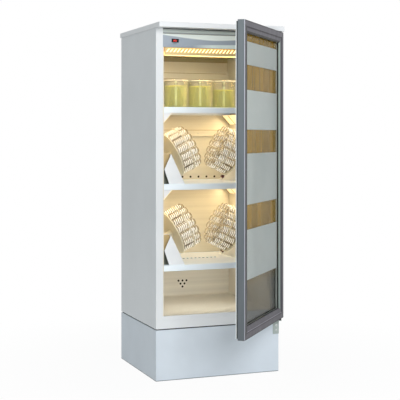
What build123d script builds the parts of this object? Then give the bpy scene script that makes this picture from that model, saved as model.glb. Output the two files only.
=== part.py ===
from build123d import *
import os
from math import atan, cos, radians, sin, tan

# An upright climate chamber: an insulated cabinet on a plinth that holds the cooling unit, with one
# glass door, three shelves, two pairs of tilted vial carousels and three culture jars.
# Millimetres. X runs to the right, Y to the back and Z up. The origin is on the floor, under the
# middle of the cabinet.

os.makedirs("parts", exist_ok=True)

# Cabinet
WIDTH = 600.0
DEPTH = 530.0
PLINTH_HEIGHT = 226.0
SHADOW_GAP = 5.0
BODY_HEIGHT = 1339.0
SHEET = 1.5
SHEET_BEND = 3.0
JAMB_WIDTH = 33.0
JAMB_RETURN = 8.0
DECK_INSET = 5.0

# Cap
CAP_THICKNESS = 22.0
CAP_FRONT = 57.0
CAP_SIDE = 4.0
CAP_BACK = 10.0
CAP_CORNER = 4.0
CAP_EDGE = 1.5

# Moulded liner and the insulation round it
SIDE_ROOM = 40.0
BACK_ROOM = 30.0
HEAD_ROOM = 82.0
CAVITY_FLOOR = 56.0
CAVITY_CORNER = 4.0
CAVITY_COVE = 3.0
DRAFT = 1.2
LINER_WALL = 2.0
LINER_FLANGE = 15.0
BOARD_GAP = 1.0
BOARD_JOINT = 0.2

# Header above the opening
TRIM_HEIGHT = 22.0
TRIM_BELOW_CAP = 2.0
FASCIA_HEIGHT = 59.0
FASCIA_THICKNESS = 2.0
FASCIA_RECESS = 2.0
FASCIA_LEAN = 3.0
FASCIA_BELOW_CAP = 25.0
FASCIA_SIDE_GAP = 0.5
TAB_WIDTH = 8.0
TAB_REACH = 10.5
TAB_DROP = 40.0
HEADER_DEPTH = 95.0
HEADER_FLOOR = 10.0
DISPLAY_WIDTH = 33.0
DISPLAY_HEIGHT = 14.0
DISPLAY_IN = 51.5
CONTROLLER_WIDTH = 76.0
CONTROLLER_HEIGHT = 34.0
CONTROLLER_DEPTH = 62.0
SWITCH_BLOCK_DEPTH = 30.0
KEY_RADIUS = 2.5
KEY_PITCH = 9.0
KEY_DROP = 13.0
SWITCH_RADIUS = 4.0
SWITCH_IN = 48.0
SWITCH_PITCH = 25.5
SWITCH_RISE = 8.0
SWITCH_REST = 6.0
BUTTON_PROUD = 1.4
BUTTON_REACH = 6.0
BUTTON_TRAVEL = 2.0
BUTTON_GAP = 0.3

# Slotted lamp canopy
CANOPY_DROP = 33.0
CANOPY_DEPTH = 62.0
CANOPY_SIDE_GAP = 4.5
CANOPY_SET_BACK = 3.0
CANOPY_LIP = 12.0
SLOT_END_GAP = 5.0
SLOT_PITCH = 17.0
SLOT_WIDTH = 6.8
SLOT_HEIGHT = 17.0
SLOT_SLANT = 14.0
SLOT_DROP = 4.0
TUBE_LAMP_RADIUS = 8.0
TUBE_LAMP_SET_BACK = 24.0
LAMP_HOLDER = 10.0
DIFFUSER = 2.0

# Shelves, set down from the cavity ceiling; the bottom compartment takes what is left
TOP_ROOM = 269.0
UPPER_ROOM = 345.0
LOWER_ROOM = 363.0
SHELF_SHEET = 2.0
SHELF_LIP = 26.0
SHELF_SIDE_GAP = 1.0
SHELF_FRONT_GAP = 6.0
SHELF_BACK_GAP = 5.0
VENT_COUNT = 9
VENT_PITCH = 20.0
VENT_RADIUS = 4.0
CLIP_LENGTH = 22.0
CLIP_WIDTH = 13.0
CLIP_HEIGHT = 12.0
CLIP_FROM_END = 40.0

# Corner lamps under the two higher shelves
CORNER_LAMP_WIDE = 40.0
CORNER_LAMP_HIGH = 44.0
CORNER_LAMP_START = 12.0
CORNER_LAMP_BACK = 30.0
CORNER_TUBE_RADIUS = 7.0
CORNER_TUBE_IN = 13.0

# Air duct at the back
DUCT_GAP = 22.0
DUCT_FOOT = 13.0
DUCT_TOP_GAP = 77.0
DUCT_SIDE_GAP = 2.0
DUCT_STUD = 5.0
DUCT_STUD_IN = 15.0
DUCT_HOLE_RADIUS = 3.5
DUCT_HOLE_COUNT = 9
DUCT_HOLE_PITCH = 42.5
DUCT_HOLE_RISE = 13.0
AIR_HOLE_RADIUS = 4.0
AIR_HOLE_PITCH = 21.0
AIR_HOLE_ROW = 15.0
AIR_HOLE_HEIGHT = 86.0
RAIL_IN = 56.0
RAIL_HEIGHT = 29.0
RAIL_DEPTH = 16.0
RAIL_RISE = 214.0
EVAPORATOR_IN = 60.0
EVAPORATOR_HEIGHT = 620.0
EVAPORATOR_DROP = 94.0
EVAPORATOR_THICKNESS = 6.0
EVAPORATOR_STUD = 4.0

# Fans
AIR_FAN_FRAME = 92.0
AIR_FAN_DEPTH = 16.0
AIR_FAN_TIP = 42.0
AIR_FAN_HUB = 16.0
AIR_FAN_BLADES = 7
COOLING_FAN_TIP = 68.0
COOLING_FAN_HUB = 22.0
COOLING_FAN_BLADES = 5
COOLING_FAN_DEPTH = 30.0
FAN_TIP_GAP = 2.0
FAN_STRUT = 4.0
FAN_AXLE = 2.5
FAN_AXLE_CLEARANCE = 0.05
FAN_END_GAP = 0.5
BLADE_PITCH = 35.0
BLADE_THICKNESS = 1.5

# Carousels
TILT = 26.0
CAROUSEL_IN = 103.0
CAROUSEL_GAP = 19.3
CAROUSEL_Y = 200.0
CAROUSEL_RISE = 126.0
PLATE_RADIUS = 108.0
PLATE_THICKNESS = 5.0
PLATE_SIDES = 16
RING_WIDTH = 4.5
RING_THICKNESS = 4.0
RING_HEIGHT = 60.0
SPOKE_COUNT = 8
SPOKE_WIDTH = 4.0
ROD_RADIUS = 8.0
HUB_RADIUS = 16.0
HUB_GAP = 0.3
SHAFT_RADIUS = 5.0
SHAFT_CLEARANCE = 0.05
SHAFT_END = 71.0
STAND_OFF = 55.0
VIAL_RADIUS = 15.0
VIAL_SIDES = 12
OUTER_VIAL_COUNT = 16
OUTER_VIAL_CIRCLE = 88.0
INNER_VIAL_COUNT = 8
INNER_VIAL_CIRCLE = 46.0

# Carousel frames and drives
FRAME_FRONT = 18.0
FRAME_LENGTH = 364.0
FRAME_HEIGHT = 134.0
KNEE_IN = 6.0
KNEE_HEIGHT = 66.0
HEEL_IN = 29.0
HOUSING_INSET = 26.0
HOUSING_WALL_GAP = 2.0
BUSH_RADIUS = 9.0
BUSH_PROUD = 2.0
BUSH_TAIL = 7.0
MOTOR_RADIUS = 22.0
MOTOR_LENGTH = 24.0
MOTOR_BORE_CLEARANCE = 0.3
MOTOR_BORE_DEPTH = 8.0
KNOB_RADIUS = 7.5
KNOB_HEIGHT = 11.0
KNOB_DRAFT = 3.0
KNOB_COLLAR = 2.0
KNOB_COLLAR_RADIUS = 9.5
KNOB_RISE = 16.0
KNOB_FROM_BACK = 36.0
KNOB_SHAFT_RADIUS = 3.0
KNOB_SHAFT_TAIL = 8.0

# Jars
JAR_RADIUS = 57.5
JAR_HEIGHT = 131.0
JAR_WALL = 3.0
JAR_FLOOR = 4.0
JAR_PITCH = 122.0
JAR_Y = 235.0
JAR_CLEARANCE = 0.3
LIQUID_DEPTHS = (99.0, 99.0, 83.0)
LID_THICKNESS = 4.0
LID_PLUG = 5.0
AERATOR_RADIUS = 5.0
AERATOR_FOOT_GAP = 12.0
AERATOR_COLLAR_RADIUS = 8.0
AERATOR_COLLAR_HEIGHT = 14.0
AERATOR_COLLAR_DROP = 5.0

# Door, measured as it stands when shut
DOOR_OPEN = 49.3
DOOR_FOOT_GAP = 21.0
DOOR_TOP_GAP = 3.0
DOOR_THICKNESS = 31.0
GASKET_GAP = 0.5
GASKET_THICKNESS = 10.5
GASKET_INSET = 6.0
GASKET_WIDTH = 22.0
FRAME_FACE = 52.0
FRAME_BAND = 26.0
FRAME_GROOVE = 5.0
GROOVE_DEPTH = 1.5
BEVEL_DROP = 6.0
LIP_DROP = 8.0
EDGE_BREAK = 2.0
GLASS_SEAT = 12.0
BEAD = 3.0
PANE = 4.0
PANE_GAP = 6.0
PANE_EDGE_GAP = 1.0
SPACER_WIDTH = 8.0
MITRE_GAP = 0.1
FILM = 0.4
FILM_EDGE_GAP = 0.5
FILM_BANDS_DOWN = [(83.0, 180.0), (285.0, 451.0), (551.0, 765.0), (869.0, 1079.0)]

# Door hinge
HINGE_IN = 8.0
HINGE_OUT = 24.0
PIN_RADIUS = 4.0
PIN_CLEARANCE = 0.05
PIN_REACH = 16.0
BUSH_SEAT = 0.3
DOOR_BUSH_RADIUS = 6.2
DOOR_BUSH_FLANGE_RADIUS = 8.0
DOOR_BUSH_FLANGE = 2.0
BRACKET_WIDTH = 30.0
BRACKET_SHEET = 3.0
BRACKET_TAIL = 67.0
BRACKET_DROP = 11.0
BRACKET_NOSE = 12.0
TOP_BRACKET_SHEET = 2.0
BOSS_RADIUS = 7.0
SCREW_RADIUS = 4.0
SCREW_HEAD = 2.0
SCREW_PITCH = 22.0
SCREW_IN = 13.0
SCREW_LOW = 17.0

# Plinth and cooling unit
PAN_SHEET = 2.0
PAN_FLANGE = 15.0
FOOT_SPACING_X = 500.0
FOOT_SPACING_Y = 430.0
FOOT_HOLE_RADIUS = 5.25
PLINTH_RETURN = 20.0
LOUVRE_WIDTH = 200.0
LOUVRE_HEIGHT = 6.0
LOUVRE_PITCH = 14.0
LOUVRE_ROWS = 10
LOUVRE_COLUMN = 240.0
COMPRESSOR_X = 150.0
COMPRESSOR_Y = 120.0
COMPRESSOR_RADIUS = 65.0
COMPRESSOR_STRETCH = 50.0
COMPRESSOR_HEIGHT = 150.0
COMPRESSOR_SHOULDER = 24.0
COMPRESSOR_FOOT_X = 180.0
COMPRESSOR_FOOT_Y = 90.0
MOUNT_RADIUS = 11.0
MOUNT_HEIGHT = 14.0
CONDENSER_X = -130.0
CONDENSER_Y = 0.0
CONDENSER_WIDTH = 230.0
CONDENSER_HEIGHT = 160.0
CONDENSER_DEPTH = 50.0
CONDENSER_FINS = 16
CONDENSER_FIN_SHEET = 1.2
CONDENSER_TUBE = 5.0
CONDENSER_ROWS = 4
PIPE_RADIUS = 4.0
PIPE_BEND = 14.0
PIPE_END_GAP = 0.3
TRAY_WIDTH = 200.0
TRAY_DEPTH = 90.0
TRAY_HEIGHT = 25.0
TRAY_WALL = 2.0
TRAY_X = -130.0
TRAY_Y = 170.0
INLET_WIDTH = 48.0
INLET_HEIGHT = 28.0
INLET_DEPTH = 24.0
INLET_IN = 44.0
INLET_Z = 60.0
INLET_FLANGE = 4.0
INLET_RECESS = 16.0
INLET_PIN_RADIUS = 2.0
INLET_PIN_PITCH = 7.0

# Places that follow from the sizes above
LEFT = -WIDTH / 2
RIGHT = WIDTH / 2
FRONT = -DEPTH / 2
BACK = DEPTH / 2
BODY_FOOT = PLINTH_HEIGHT + SHADOW_GAP
BODY_TOP = BODY_FOOT + BODY_HEIGHT
SHELL_SIDE = RIGHT - SHEET
SHELL_BACK = BACK - SHEET
JAMB_IN = RIGHT - JAMB_WIDTH
MOUTH = FRONT + JAMB_RETURN
CAVITY_WIDTH = WIDTH - 2 * SIDE_ROOM
CAVITY_DEPTH = DEPTH - JAMB_RETURN - BACK_ROOM
CAVITY_HEIGHT = BODY_HEIGHT - CAVITY_FLOOR - HEAD_ROOM
FLOOR = BODY_FOOT + CAVITY_FLOOR
CEILING = FLOOR + CAVITY_HEIGHT
DISPLAY_X = DISPLAY_IN - CAVITY_WIDTH / 2
SWITCH_X = CAVITY_WIDTH / 2 - SWITCH_IN
CORNER_LAMP_LENGTH = CAVITY_DEPTH - CORNER_LAMP_START - CORNER_LAMP_BACK
DUCT_TOP = CAVITY_HEIGHT - DUCT_TOP_GAP
RAIL_LENGTH = CAVITY_WIDTH - 2 * RAIL_IN
EVAPORATOR_WIDTH = CAVITY_WIDTH - 2 * EVAPORATOR_IN
EVAPORATOR_FOOT = DUCT_TOP - EVAPORATOR_DROP - EVAPORATOR_HEIGHT
CAROUSEL_X = CAVITY_WIDTH / 2 - CAROUSEL_IN
vial_room = CAROUSEL_X - CAROUSEL_GAP - (OUTER_VIAL_CIRCLE + VIAL_RADIUS) * sin(radians(TILT))
VIAL_LENGTH = vial_room / cos(radians(TILT)) - PLATE_THICKNESS
INLET_X = LEFT + INLET_IN
CAVITY_BACK = MOUTH + CAVITY_DEPTH
HEADER_BACK = FRONT + HEADER_DEPTH
SHRINK = tan(radians(DRAFT))
DUCT_FRONT = CAVITY_BACK - DUCT_GAP
SHELF_FRONT = MOUTH + SHELF_FRONT_GAP
SHELF_BACK = DUCT_FRONT - SHELF_BACK_GAP
UPPER_TOP = CEILING - TOP_ROOM
MIDDLE_TOP = UPPER_TOP - UPPER_ROOM
LOWER_TOP = MIDDLE_TOP - LOWER_ROOM


def half_width(y):
    """Half the cavity's width at a depth, where the drafted walls have closed in."""
    return CAVITY_WIDTH / 2 - (y - MOUTH) * SHRINK


def facing_front(y):
    """The upright plane at a depth, facing the front, with X to the right and Z up."""
    return Plane.XZ.offset(-y)


def block(x, y, z, mode=Mode.ADD):
    """A box given by its two ends along each axis."""
    with Locations(((x[0] + x[1]) / 2, (y[0] + y[1]) / 2, (z[0] + z[1]) / 2)):
        Box(x[1] - x[0], y[1] - y[0], z[1] - z[0], mode=mode)


# Plinth

with BuildPart() as base_pan:
    block((-SHELL_SIDE, SHELL_SIDE), (FRONT + SHEET, SHELL_BACK), (0, PAN_FLANGE))
    block(
        (-SHELL_SIDE + PAN_SHEET, SHELL_SIDE - PAN_SHEET),
        (FRONT + SHEET + PAN_SHEET, SHELL_BACK - PAN_SHEET),
        (PAN_SHEET, PAN_FLANGE),
        mode=Mode.SUBTRACT,
    )
    with BuildSketch(Plane.XY):
        with GridLocations(FOOT_SPACING_X, FOOT_SPACING_Y, 2, 2):
            Circle(FOOT_HOLE_RADIUS)
    extrude(amount=PAN_SHEET, mode=Mode.SUBTRACT)
base_pan.part.label = "base_pan"
export_step(base_pan.part, "parts/base_pan.step")

with BuildPart() as plinth_shell:
    block((LEFT, RIGHT), (FRONT, SHELL_BACK), (0, PLINTH_HEIGHT))
    front_corners = plinth_shell.edges().filter_by(Axis.Z).group_by(Axis.Y)[0]
    fillet(front_corners, SHEET_BEND)
    block((-SHELL_SIDE, SHELL_SIDE), (FRONT + SHEET, SHELL_BACK), (0, PLINTH_HEIGHT - SHEET), mode=Mode.SUBTRACT)
    block(
        (LEFT + PLINTH_RETURN, RIGHT - PLINTH_RETURN),
        (FRONT + PLINTH_RETURN, SHELL_BACK),
        (PLINTH_HEIGHT - SHEET, PLINTH_HEIGHT),
        mode=Mode.SUBTRACT,
    )
plinth_shell.part.label = "plinth_shell"
export_step(plinth_shell.part, "parts/plinth_shell.step")

with BuildPart() as rear_grille:
    block((LEFT, RIGHT), (SHELL_BACK, BACK), (0, PLINTH_HEIGHT))
    with BuildSketch(facing_front(BACK)):
        with Locations((0, PLINTH_HEIGHT / 2 + LOUVRE_PITCH)):
            with GridLocations(LOUVRE_COLUMN, LOUVRE_PITCH, 2, LOUVRE_ROWS):
                Rectangle(LOUVRE_WIDTH, LOUVRE_HEIGHT)
        with Locations((INLET_X, INLET_Z)):
            Rectangle(INLET_WIDTH - 2 * INLET_FLANGE, INLET_HEIGHT - 2 * INLET_FLANGE)
    extrude(amount=SHEET, mode=Mode.SUBTRACT)
rear_grille.part.label = "rear_grille"
export_step(rear_grille.part, "parts/rear_grille.step")

with BuildPart() as deck_plate:
    block(
        (LEFT + DECK_INSET, RIGHT - DECK_INSET),
        (FRONT + DECK_INSET, BACK - DECK_INSET),
        (PLINTH_HEIGHT, BODY_FOOT),
    )
deck_plate.part.label = "deck_plate"
export_step(deck_plate.part, "parts/deck_plate.step")

# Outer shell

with BuildPart() as side_panels:
    with BuildSketch(Plane.XY.offset(BODY_FOOT)):
        with BuildLine():
            Polyline(
                (JAMB_IN, FRONT),
                (RIGHT, FRONT),
                (RIGHT, BACK),
                (SHELL_SIDE, BACK),
                (SHELL_SIDE, FRONT + SHEET),
                (JAMB_IN + SHEET, FRONT + SHEET),
                (JAMB_IN + SHEET, MOUTH),
                (JAMB_IN, MOUTH),
                close=True,
            )
        make_face()
    extrude(amount=BODY_HEIGHT)
    front_corner = side_panels.edges().filter_by(Axis.Z).group_by(Axis.Y)[0].sort_by(Axis.X)[-1]
    fillet(front_corner, SHEET_BEND)
    mirror(about=Plane.YZ)
side_panels.part.label = "side_panels"
export_step(side_panels.part, "parts/side_panels.step")

with BuildPart() as rear_cladding:
    with BuildSketch(Plane.YZ.offset(-SHELL_SIDE)):
        with BuildLine():
            Polyline(
                (BACK, BODY_FOOT),
                (BACK, BODY_TOP),
                (HEADER_BACK, BODY_TOP),
                (HEADER_BACK, BODY_TOP - SHEET),
                (SHELL_BACK, BODY_TOP - SHEET),
                (SHELL_BACK, BODY_FOOT),
                close=True,
            )
        make_face()
    extrude(amount=2 * SHELL_SIDE)
rear_cladding.part.label = "rear_cladding"
export_step(rear_cladding.part, "parts/rear_cladding.step")

with BuildPart() as front_sill:
    sill_step = FLOOR - CAVITY_FLOOR / 3
    with BuildSketch(Plane.YZ.offset(-JAMB_IN)):
        with BuildLine():
            Polyline(
                (FRONT + SHEET, BODY_FOOT),
                (FRONT + SHEET, sill_step),
                (FRONT, sill_step),
                (FRONT, FLOOR),
                (MOUTH, FLOOR),
                (MOUTH, FLOOR - SHEET),
                (FRONT + 2 * SHEET, FLOOR - SHEET),
                (FRONT + 2 * SHEET, BODY_FOOT),
                close=True,
            )
        make_face()
    extrude(amount=2 * JAMB_IN)
front_sill.part.label = "front_sill"
export_step(front_sill.part, "parts/front_sill.step")

with BuildPart() as top_cap:
    block(
        (LEFT - CAP_SIDE, RIGHT + CAP_SIDE),
        (FRONT - CAP_FRONT, BACK + CAP_BACK),
        (BODY_TOP, BODY_TOP + CAP_THICKNESS),
    )
    fillet(top_cap.edges().filter_by(Axis.Z), CAP_CORNER)
    chamfer(top_cap.faces().sort_by(Axis.Z)[-1].edges(), CAP_EDGE)
top_cap.part.label = "top_cap"
export_step(top_cap.part, "parts/top_cap.step")

# Liner and insulation


def liner_form(grow):
    """The drafted, coved form of the cavity, or of the liner's outside when grown by its wall."""
    mouth = Plane(origin=(0, MOUTH, (FLOOR + CEILING) / 2), x_dir=(-1, 0, 0), z_dir=(0, 1, 0))
    with BuildPart() as form:
        with BuildSketch(mouth):
            Rectangle(CAVITY_WIDTH + 2 * grow, CAVITY_HEIGHT + 2 * grow)
        extrude(amount=CAVITY_DEPTH + grow, taper=DRAFT)
        fillet(form.edges().group_by(Axis.Y)[1], CAVITY_CORNER + grow)
        fillet(form.faces().sort_by(Axis.Y)[-1].edges(), CAVITY_COVE + grow)
    return form.part


cavity_form = liner_form(0)
liner_outside = liner_form(LINER_WALL)

with BuildPart() as inner_liner:
    add(liner_outside)
    block(
        (-CAVITY_WIDTH / 2 - LINER_FLANGE, CAVITY_WIDTH / 2 + LINER_FLANGE),
        (MOUTH, MOUTH + LINER_WALL),
        (FLOOR - LINER_FLANGE, CEILING + HEADER_FLOOR),
    )
    add(cavity_form, mode=Mode.SUBTRACT)
inner_liner.part.label = "inner_liner"
export_step(inner_liner.part, "parts/inner_liner.step")

with BuildPart() as insulation:
    board_front = MOUTH + LINER_WALL + BOARD_GAP
    board_top = BODY_TOP - SHEET
    inside = half_width(CAVITY_BACK) + LINER_WALL
    across = (-inside + BOARD_JOINT, inside - BOARD_JOINT)
    low = FLOOR + CAVITY_DEPTH * SHRINK - LINER_WALL
    high = CEILING - CAVITY_DEPTH * SHRINK + LINER_WALL
    header_floor = CEILING + HEADER_FLOOR
    behind = CAVITY_BACK + LINER_WALL
    block((-SHELL_SIDE, -inside), (board_front, SHELL_BACK), (BODY_FOOT, board_top))
    block((inside, SHELL_SIDE), (board_front, SHELL_BACK), (BODY_FOOT, board_top))
    block(across, (board_front, SHELL_BACK), (BODY_FOOT, low))
    block(across, (behind, SHELL_BACK), (low + BOARD_JOINT, high - BOARD_JOINT))
    block(across, (board_front, SHELL_BACK), (high, header_floor))
    block(across, (HEADER_BACK, SHELL_BACK), (header_floor + BOARD_JOINT, board_top))
    add(liner_outside, mode=Mode.SUBTRACT)
insulation.part.label = "insulation"
export_step(insulation.part, "parts/insulation.step")

# Header: trim, fascia, controller and buttons

FASCIA_TOP = BODY_TOP - FASCIA_BELOW_CAP
FASCIA_FOOT = FASCIA_TOP - FASCIA_HEIGHT
LEAN = atan(FASCIA_LEAN / FASCIA_HEIGHT)
fascia_plane = Plane(
    origin=(0, FRONT + FASCIA_RECESS + FASCIA_LEAN / 2, (FASCIA_TOP + FASCIA_FOOT) / 2),
    x_dir=(1, 0, 0),
    z_dir=(0, -cos(LEAN), -sin(LEAN)),
)
BUTTONS = {
    "key_down": (DISPLAY_X - KEY_PITCH / 2, -KEY_DROP, KEY_RADIUS),
    "key_up": (DISPLAY_X + KEY_PITCH / 2, -KEY_DROP, KEY_RADIUS),
    "switch_lights": (SWITCH_X - SWITCH_PITCH, SWITCH_RISE, SWITCH_RADIUS),
    "switch_drives": (SWITCH_X, SWITCH_RISE, SWITCH_RADIUS),
    "switch_power": (SWITCH_X + SWITCH_PITCH, SWITCH_RISE, SWITCH_RADIUS),
}


def behind_fascia(z):
    """Where the leaning fascia's back face is at a height."""
    return FRONT + FASCIA_RECESS + (FASCIA_TOP - z) * tan(LEAN) + FASCIA_THICKNESS / cos(LEAN)


with BuildPart() as header_trim:
    trim_top = BODY_TOP - TRIM_BELOW_CAP
    trim_foot = trim_top - TRIM_HEIGHT
    with BuildSketch(Plane.YZ.offset(-JAMB_IN)):
        with BuildLine():
            Polyline(
                (FRONT, trim_foot),
                (FRONT, trim_top),
                (FRONT + SHEET, trim_top),
                (FRONT + SHEET, BODY_TOP),
                (HEADER_BACK, BODY_TOP),
                (HEADER_BACK, BODY_TOP - SHEET),
                (FRONT + 2 * SHEET, BODY_TOP - SHEET),
                (FRONT + 2 * SHEET, trim_foot),
                close=True,
            )
        make_face()
    extrude(amount=2 * JAMB_IN)
    # The fascia is held by a tab behind each of its ends.
    for tab_start in (-JAMB_IN + TAB_WIDTH, JAMB_IN - 2 * TAB_WIDTH):
        with BuildSketch(Plane.YZ.offset(tab_start)):
            with BuildLine():
                Polyline(
                    (FRONT + 2 * SHEET, trim_foot + TAB_WIDTH),
                    (FRONT + TAB_REACH, trim_foot + TAB_WIDTH),
                    (FRONT + TAB_REACH, FASCIA_TOP - TAB_DROP),
                    (behind_fascia(FASCIA_TOP - TAB_DROP), FASCIA_TOP - TAB_DROP),
                    (behind_fascia(FASCIA_TOP), FASCIA_TOP),
                    (behind_fascia(FASCIA_TOP), trim_foot),
                    (FRONT + 2 * SHEET, trim_foot),
                    close=True,
                )
            make_face()
        extrude(amount=TAB_WIDTH)
header_trim.part.label = "header_trim"
export_step(header_trim.part, "parts/header_trim.step")

with BuildPart() as control_fascia:
    with BuildSketch(fascia_plane):
        Rectangle(2 * (JAMB_IN - FASCIA_SIDE_GAP), FASCIA_HEIGHT)
        with Locations((DISPLAY_X, 0)):
            Rectangle(DISPLAY_WIDTH, DISPLAY_HEIGHT, mode=Mode.SUBTRACT)
        for button_x, button_y, button_radius in BUTTONS.values():
            with Locations((button_x, button_y)):
                Circle(button_radius + BUTTON_GAP, mode=Mode.SUBTRACT)
    extrude(amount=-FASCIA_THICKNESS)
control_fascia.part.label = "control_fascia"
export_step(control_fascia.part, "parts/control_fascia.step")

with BuildPart() as controller:
    with BuildSketch(fascia_plane.offset(-FASCIA_THICKNESS - BUTTON_REACH)):
        with Locations((DISPLAY_X, 0)):
            Rectangle(CONTROLLER_WIDTH, CONTROLLER_HEIGHT)
    extrude(amount=-CONTROLLER_DEPTH)
    with BuildSketch(fascia_plane):
        with Locations((DISPLAY_X, 0)):
            Rectangle(DISPLAY_WIDTH, DISPLAY_HEIGHT)
    extrude(amount=-FASCIA_THICKNESS - BUTTON_REACH)
    with BuildSketch(fascia_plane.offset(-FASCIA_THICKNESS - BUTTON_REACH)):
        with Locations((SWITCH_X, SWITCH_RISE)):
            Rectangle(3 * SWITCH_PITCH, CONTROLLER_HEIGHT)
    extrude(amount=-SWITCH_BLOCK_DEPTH)
    with BuildSketch(fascia_plane.offset(-FASCIA_THICKNESS)):
        with Locations((SWITCH_X, SWITCH_RISE - CONTROLLER_HEIGHT / 2 + SWITCH_REST / 2)):
            Rectangle(3 * SWITCH_PITCH, SWITCH_REST)
    extrude(amount=-BUTTON_REACH)
controller.part.label = "controller"
export_step(controller.part, "parts/controller.step")

for button_name, (button_x, button_y, button_radius) in BUTTONS.items():
    with BuildPart() as button:
        with BuildSketch(fascia_plane.offset(BUTTON_PROUD)):
            with Locations((button_x, button_y)):
                Circle(button_radius)
        extrude(amount=-(BUTTON_PROUD + FASCIA_THICKNESS + BUTTON_REACH - BUTTON_TRAVEL))
        chamfer(button.edges().filter_by(GeomType.CIRCLE).sort_by(Axis.Y)[0], BUTTON_PROUD / 3)
    button.part.label = button_name
    export_step(button.part, f"parts/{button_name}.step")

# Slotted canopy over the top compartment

CANOPY_FRONT = MOUTH + CANOPY_SET_BACK
CANOPY_BACK = CANOPY_FRONT + CANOPY_DEPTH
CANOPY_FOOT = FASCIA_FOOT - CANOPY_DROP
CANOPY_TOP = CEILING - (CANOPY_BACK - MOUTH) * SHRINK
CANOPY_HALF = half_width(CANOPY_BACK) - CANOPY_SIDE_GAP
SLOT_COUNT = int((2 * (CANOPY_HALF - SLOT_END_GAP) - SLOT_WIDTH - SLOT_SLANT) / SLOT_PITCH) + 1
SLOT_MIDDLE = FASCIA_FOOT - SLOT_DROP - SLOT_HEIGHT / 2
TUBE_Y = CANOPY_FRONT + TUBE_LAMP_SET_BACK

with BuildPart() as lamp_canopy:
    with BuildSketch(Plane.YZ.offset(-CANOPY_HALF)):
        with BuildLine():
            Polyline(
                (CANOPY_FRONT, CANOPY_TOP),
                (CANOPY_FRONT, CANOPY_FOOT),
                (CANOPY_FRONT + CANOPY_LIP, CANOPY_FOOT),
                (CANOPY_FRONT + CANOPY_LIP, CANOPY_FOOT + SHEET),
                (CANOPY_FRONT + SHEET, CANOPY_FOOT + SHEET),
                (CANOPY_FRONT + SHEET, CANOPY_TOP - SHEET),
                (CANOPY_BACK - SHEET, CANOPY_TOP - SHEET),
                (CANOPY_BACK - SHEET, CANOPY_FOOT),
                (CANOPY_BACK, CANOPY_FOOT),
                (CANOPY_BACK, CANOPY_TOP),
                close=True,
            )
        make_face()
    extrude(amount=2 * CANOPY_HALF)
    with BuildSketch(facing_front(CANOPY_FRONT)):
        with Locations((0, SLOT_MIDDLE)):
            with GridLocations(SLOT_PITCH, 1, SLOT_COUNT, 1):
                Polygon(
                    (-SLOT_WIDTH / 2 - SLOT_SLANT / 2, -SLOT_HEIGHT / 2),
                    (SLOT_WIDTH / 2 - SLOT_SLANT / 2, -SLOT_HEIGHT / 2),
                    (SLOT_WIDTH / 2 + SLOT_SLANT / 2, SLOT_HEIGHT / 2),
                    (-SLOT_WIDTH / 2 + SLOT_SLANT / 2, SLOT_HEIGHT / 2),
                    align=None,
                )
    extrude(amount=-SHEET, mode=Mode.SUBTRACT)
    for side in (-1, 1):
        holder = sorted((side * (CANOPY_HALF - LAMP_HOLDER), side * (CANOPY_HALF - SHEET)))
        block(
            holder,
            (TUBE_Y - TUBE_LAMP_RADIUS, TUBE_Y + TUBE_LAMP_RADIUS),
            (SLOT_MIDDLE - TUBE_LAMP_RADIUS, CANOPY_TOP - SHEET),
        )
lamp_canopy.part.label = "lamp_canopy"
export_step(lamp_canopy.part, "parts/lamp_canopy.step")

# Corner lamps along both walls of the two compartments with carousels

LAMP_Y = MOUTH + CORNER_LAMP_START
LAMP_WALL = half_width(LAMP_Y) - SHELF_SIDE_GAP
LAMP_TOPS = (MIDDLE_TOP - SHELF_LIP, UPPER_TOP - SHELF_LIP)
LAMP_SLOPE = CORNER_LAMP_WIDE / CORNER_LAMP_HIGH


def lamp_runs(section):
    """Extrudes a section, given inward from the wall and up from the shelf, along both walls."""
    with BuildPart() as runs:
        for side in (-1, 1):
            for top in LAMP_TOPS:
                with BuildSketch(facing_front(LAMP_Y)):
                    Polygon(
                        *[(side * (LAMP_WALL - inward), top + rise) for inward, rise in section],
                        align=None,
                    )
                extrude(amount=CORNER_LAMP_LENGTH, dir=(-side * SHRINK, 1, 0))
    return runs.part


with BuildPart() as corner_lamps:
    add(
        lamp_runs(
            [
                (0, 0),
                (CORNER_LAMP_WIDE, 0),
                (CORNER_LAMP_WIDE - SHEET * LAMP_SLOPE, -SHEET),
                (SHEET, -SHEET),
                (SHEET, -CORNER_LAMP_HIGH + SHEET / LAMP_SLOPE),
                (0, -CORNER_LAMP_HIGH),
            ]
        )
    )
    for end in (LAMP_Y, LAMP_Y + CORNER_LAMP_LENGTH - SHEET):
        wall = LAMP_WALL - (end - LAMP_Y) * SHRINK
        with BuildSketch(facing_front(end)):
            for side in (-1, 1):
                for top in LAMP_TOPS:
                    Polygon(
                        (side * wall, top),
                        (side * (wall - CORNER_LAMP_WIDE), top),
                        (side * wall, top - CORNER_LAMP_HIGH),
                        align=None,
                    )
        extrude(amount=-SHEET)
corner_lamps.part.label = "corner_lamps"
export_step(corner_lamps.part, "parts/corner_lamps.step")

with BuildPart() as lamp_diffusers:
    out = DIFFUSER * cos(atan(LAMP_SLOPE))
    down = DIFFUSER * sin(atan(LAMP_SLOPE))
    add(
        lamp_runs(
            [
                (CORNER_LAMP_WIDE, 0),
                (CORNER_LAMP_WIDE + out, -down),
                (out, -CORNER_LAMP_HIGH - down),
                (0, -CORNER_LAMP_HIGH),
            ]
        )
    )
    block(
        (-CANOPY_HALF, CANOPY_HALF),
        (CANOPY_FRONT + SHEET, CANOPY_BACK - SHEET),
        (CANOPY_FOOT + SHEET, CANOPY_FOOT + SHEET + DIFFUSER),
    )
lamp_diffusers.part.label = "lamp_diffusers"
export_step(lamp_diffusers.part, "parts/lamp_diffusers.step")

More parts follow.
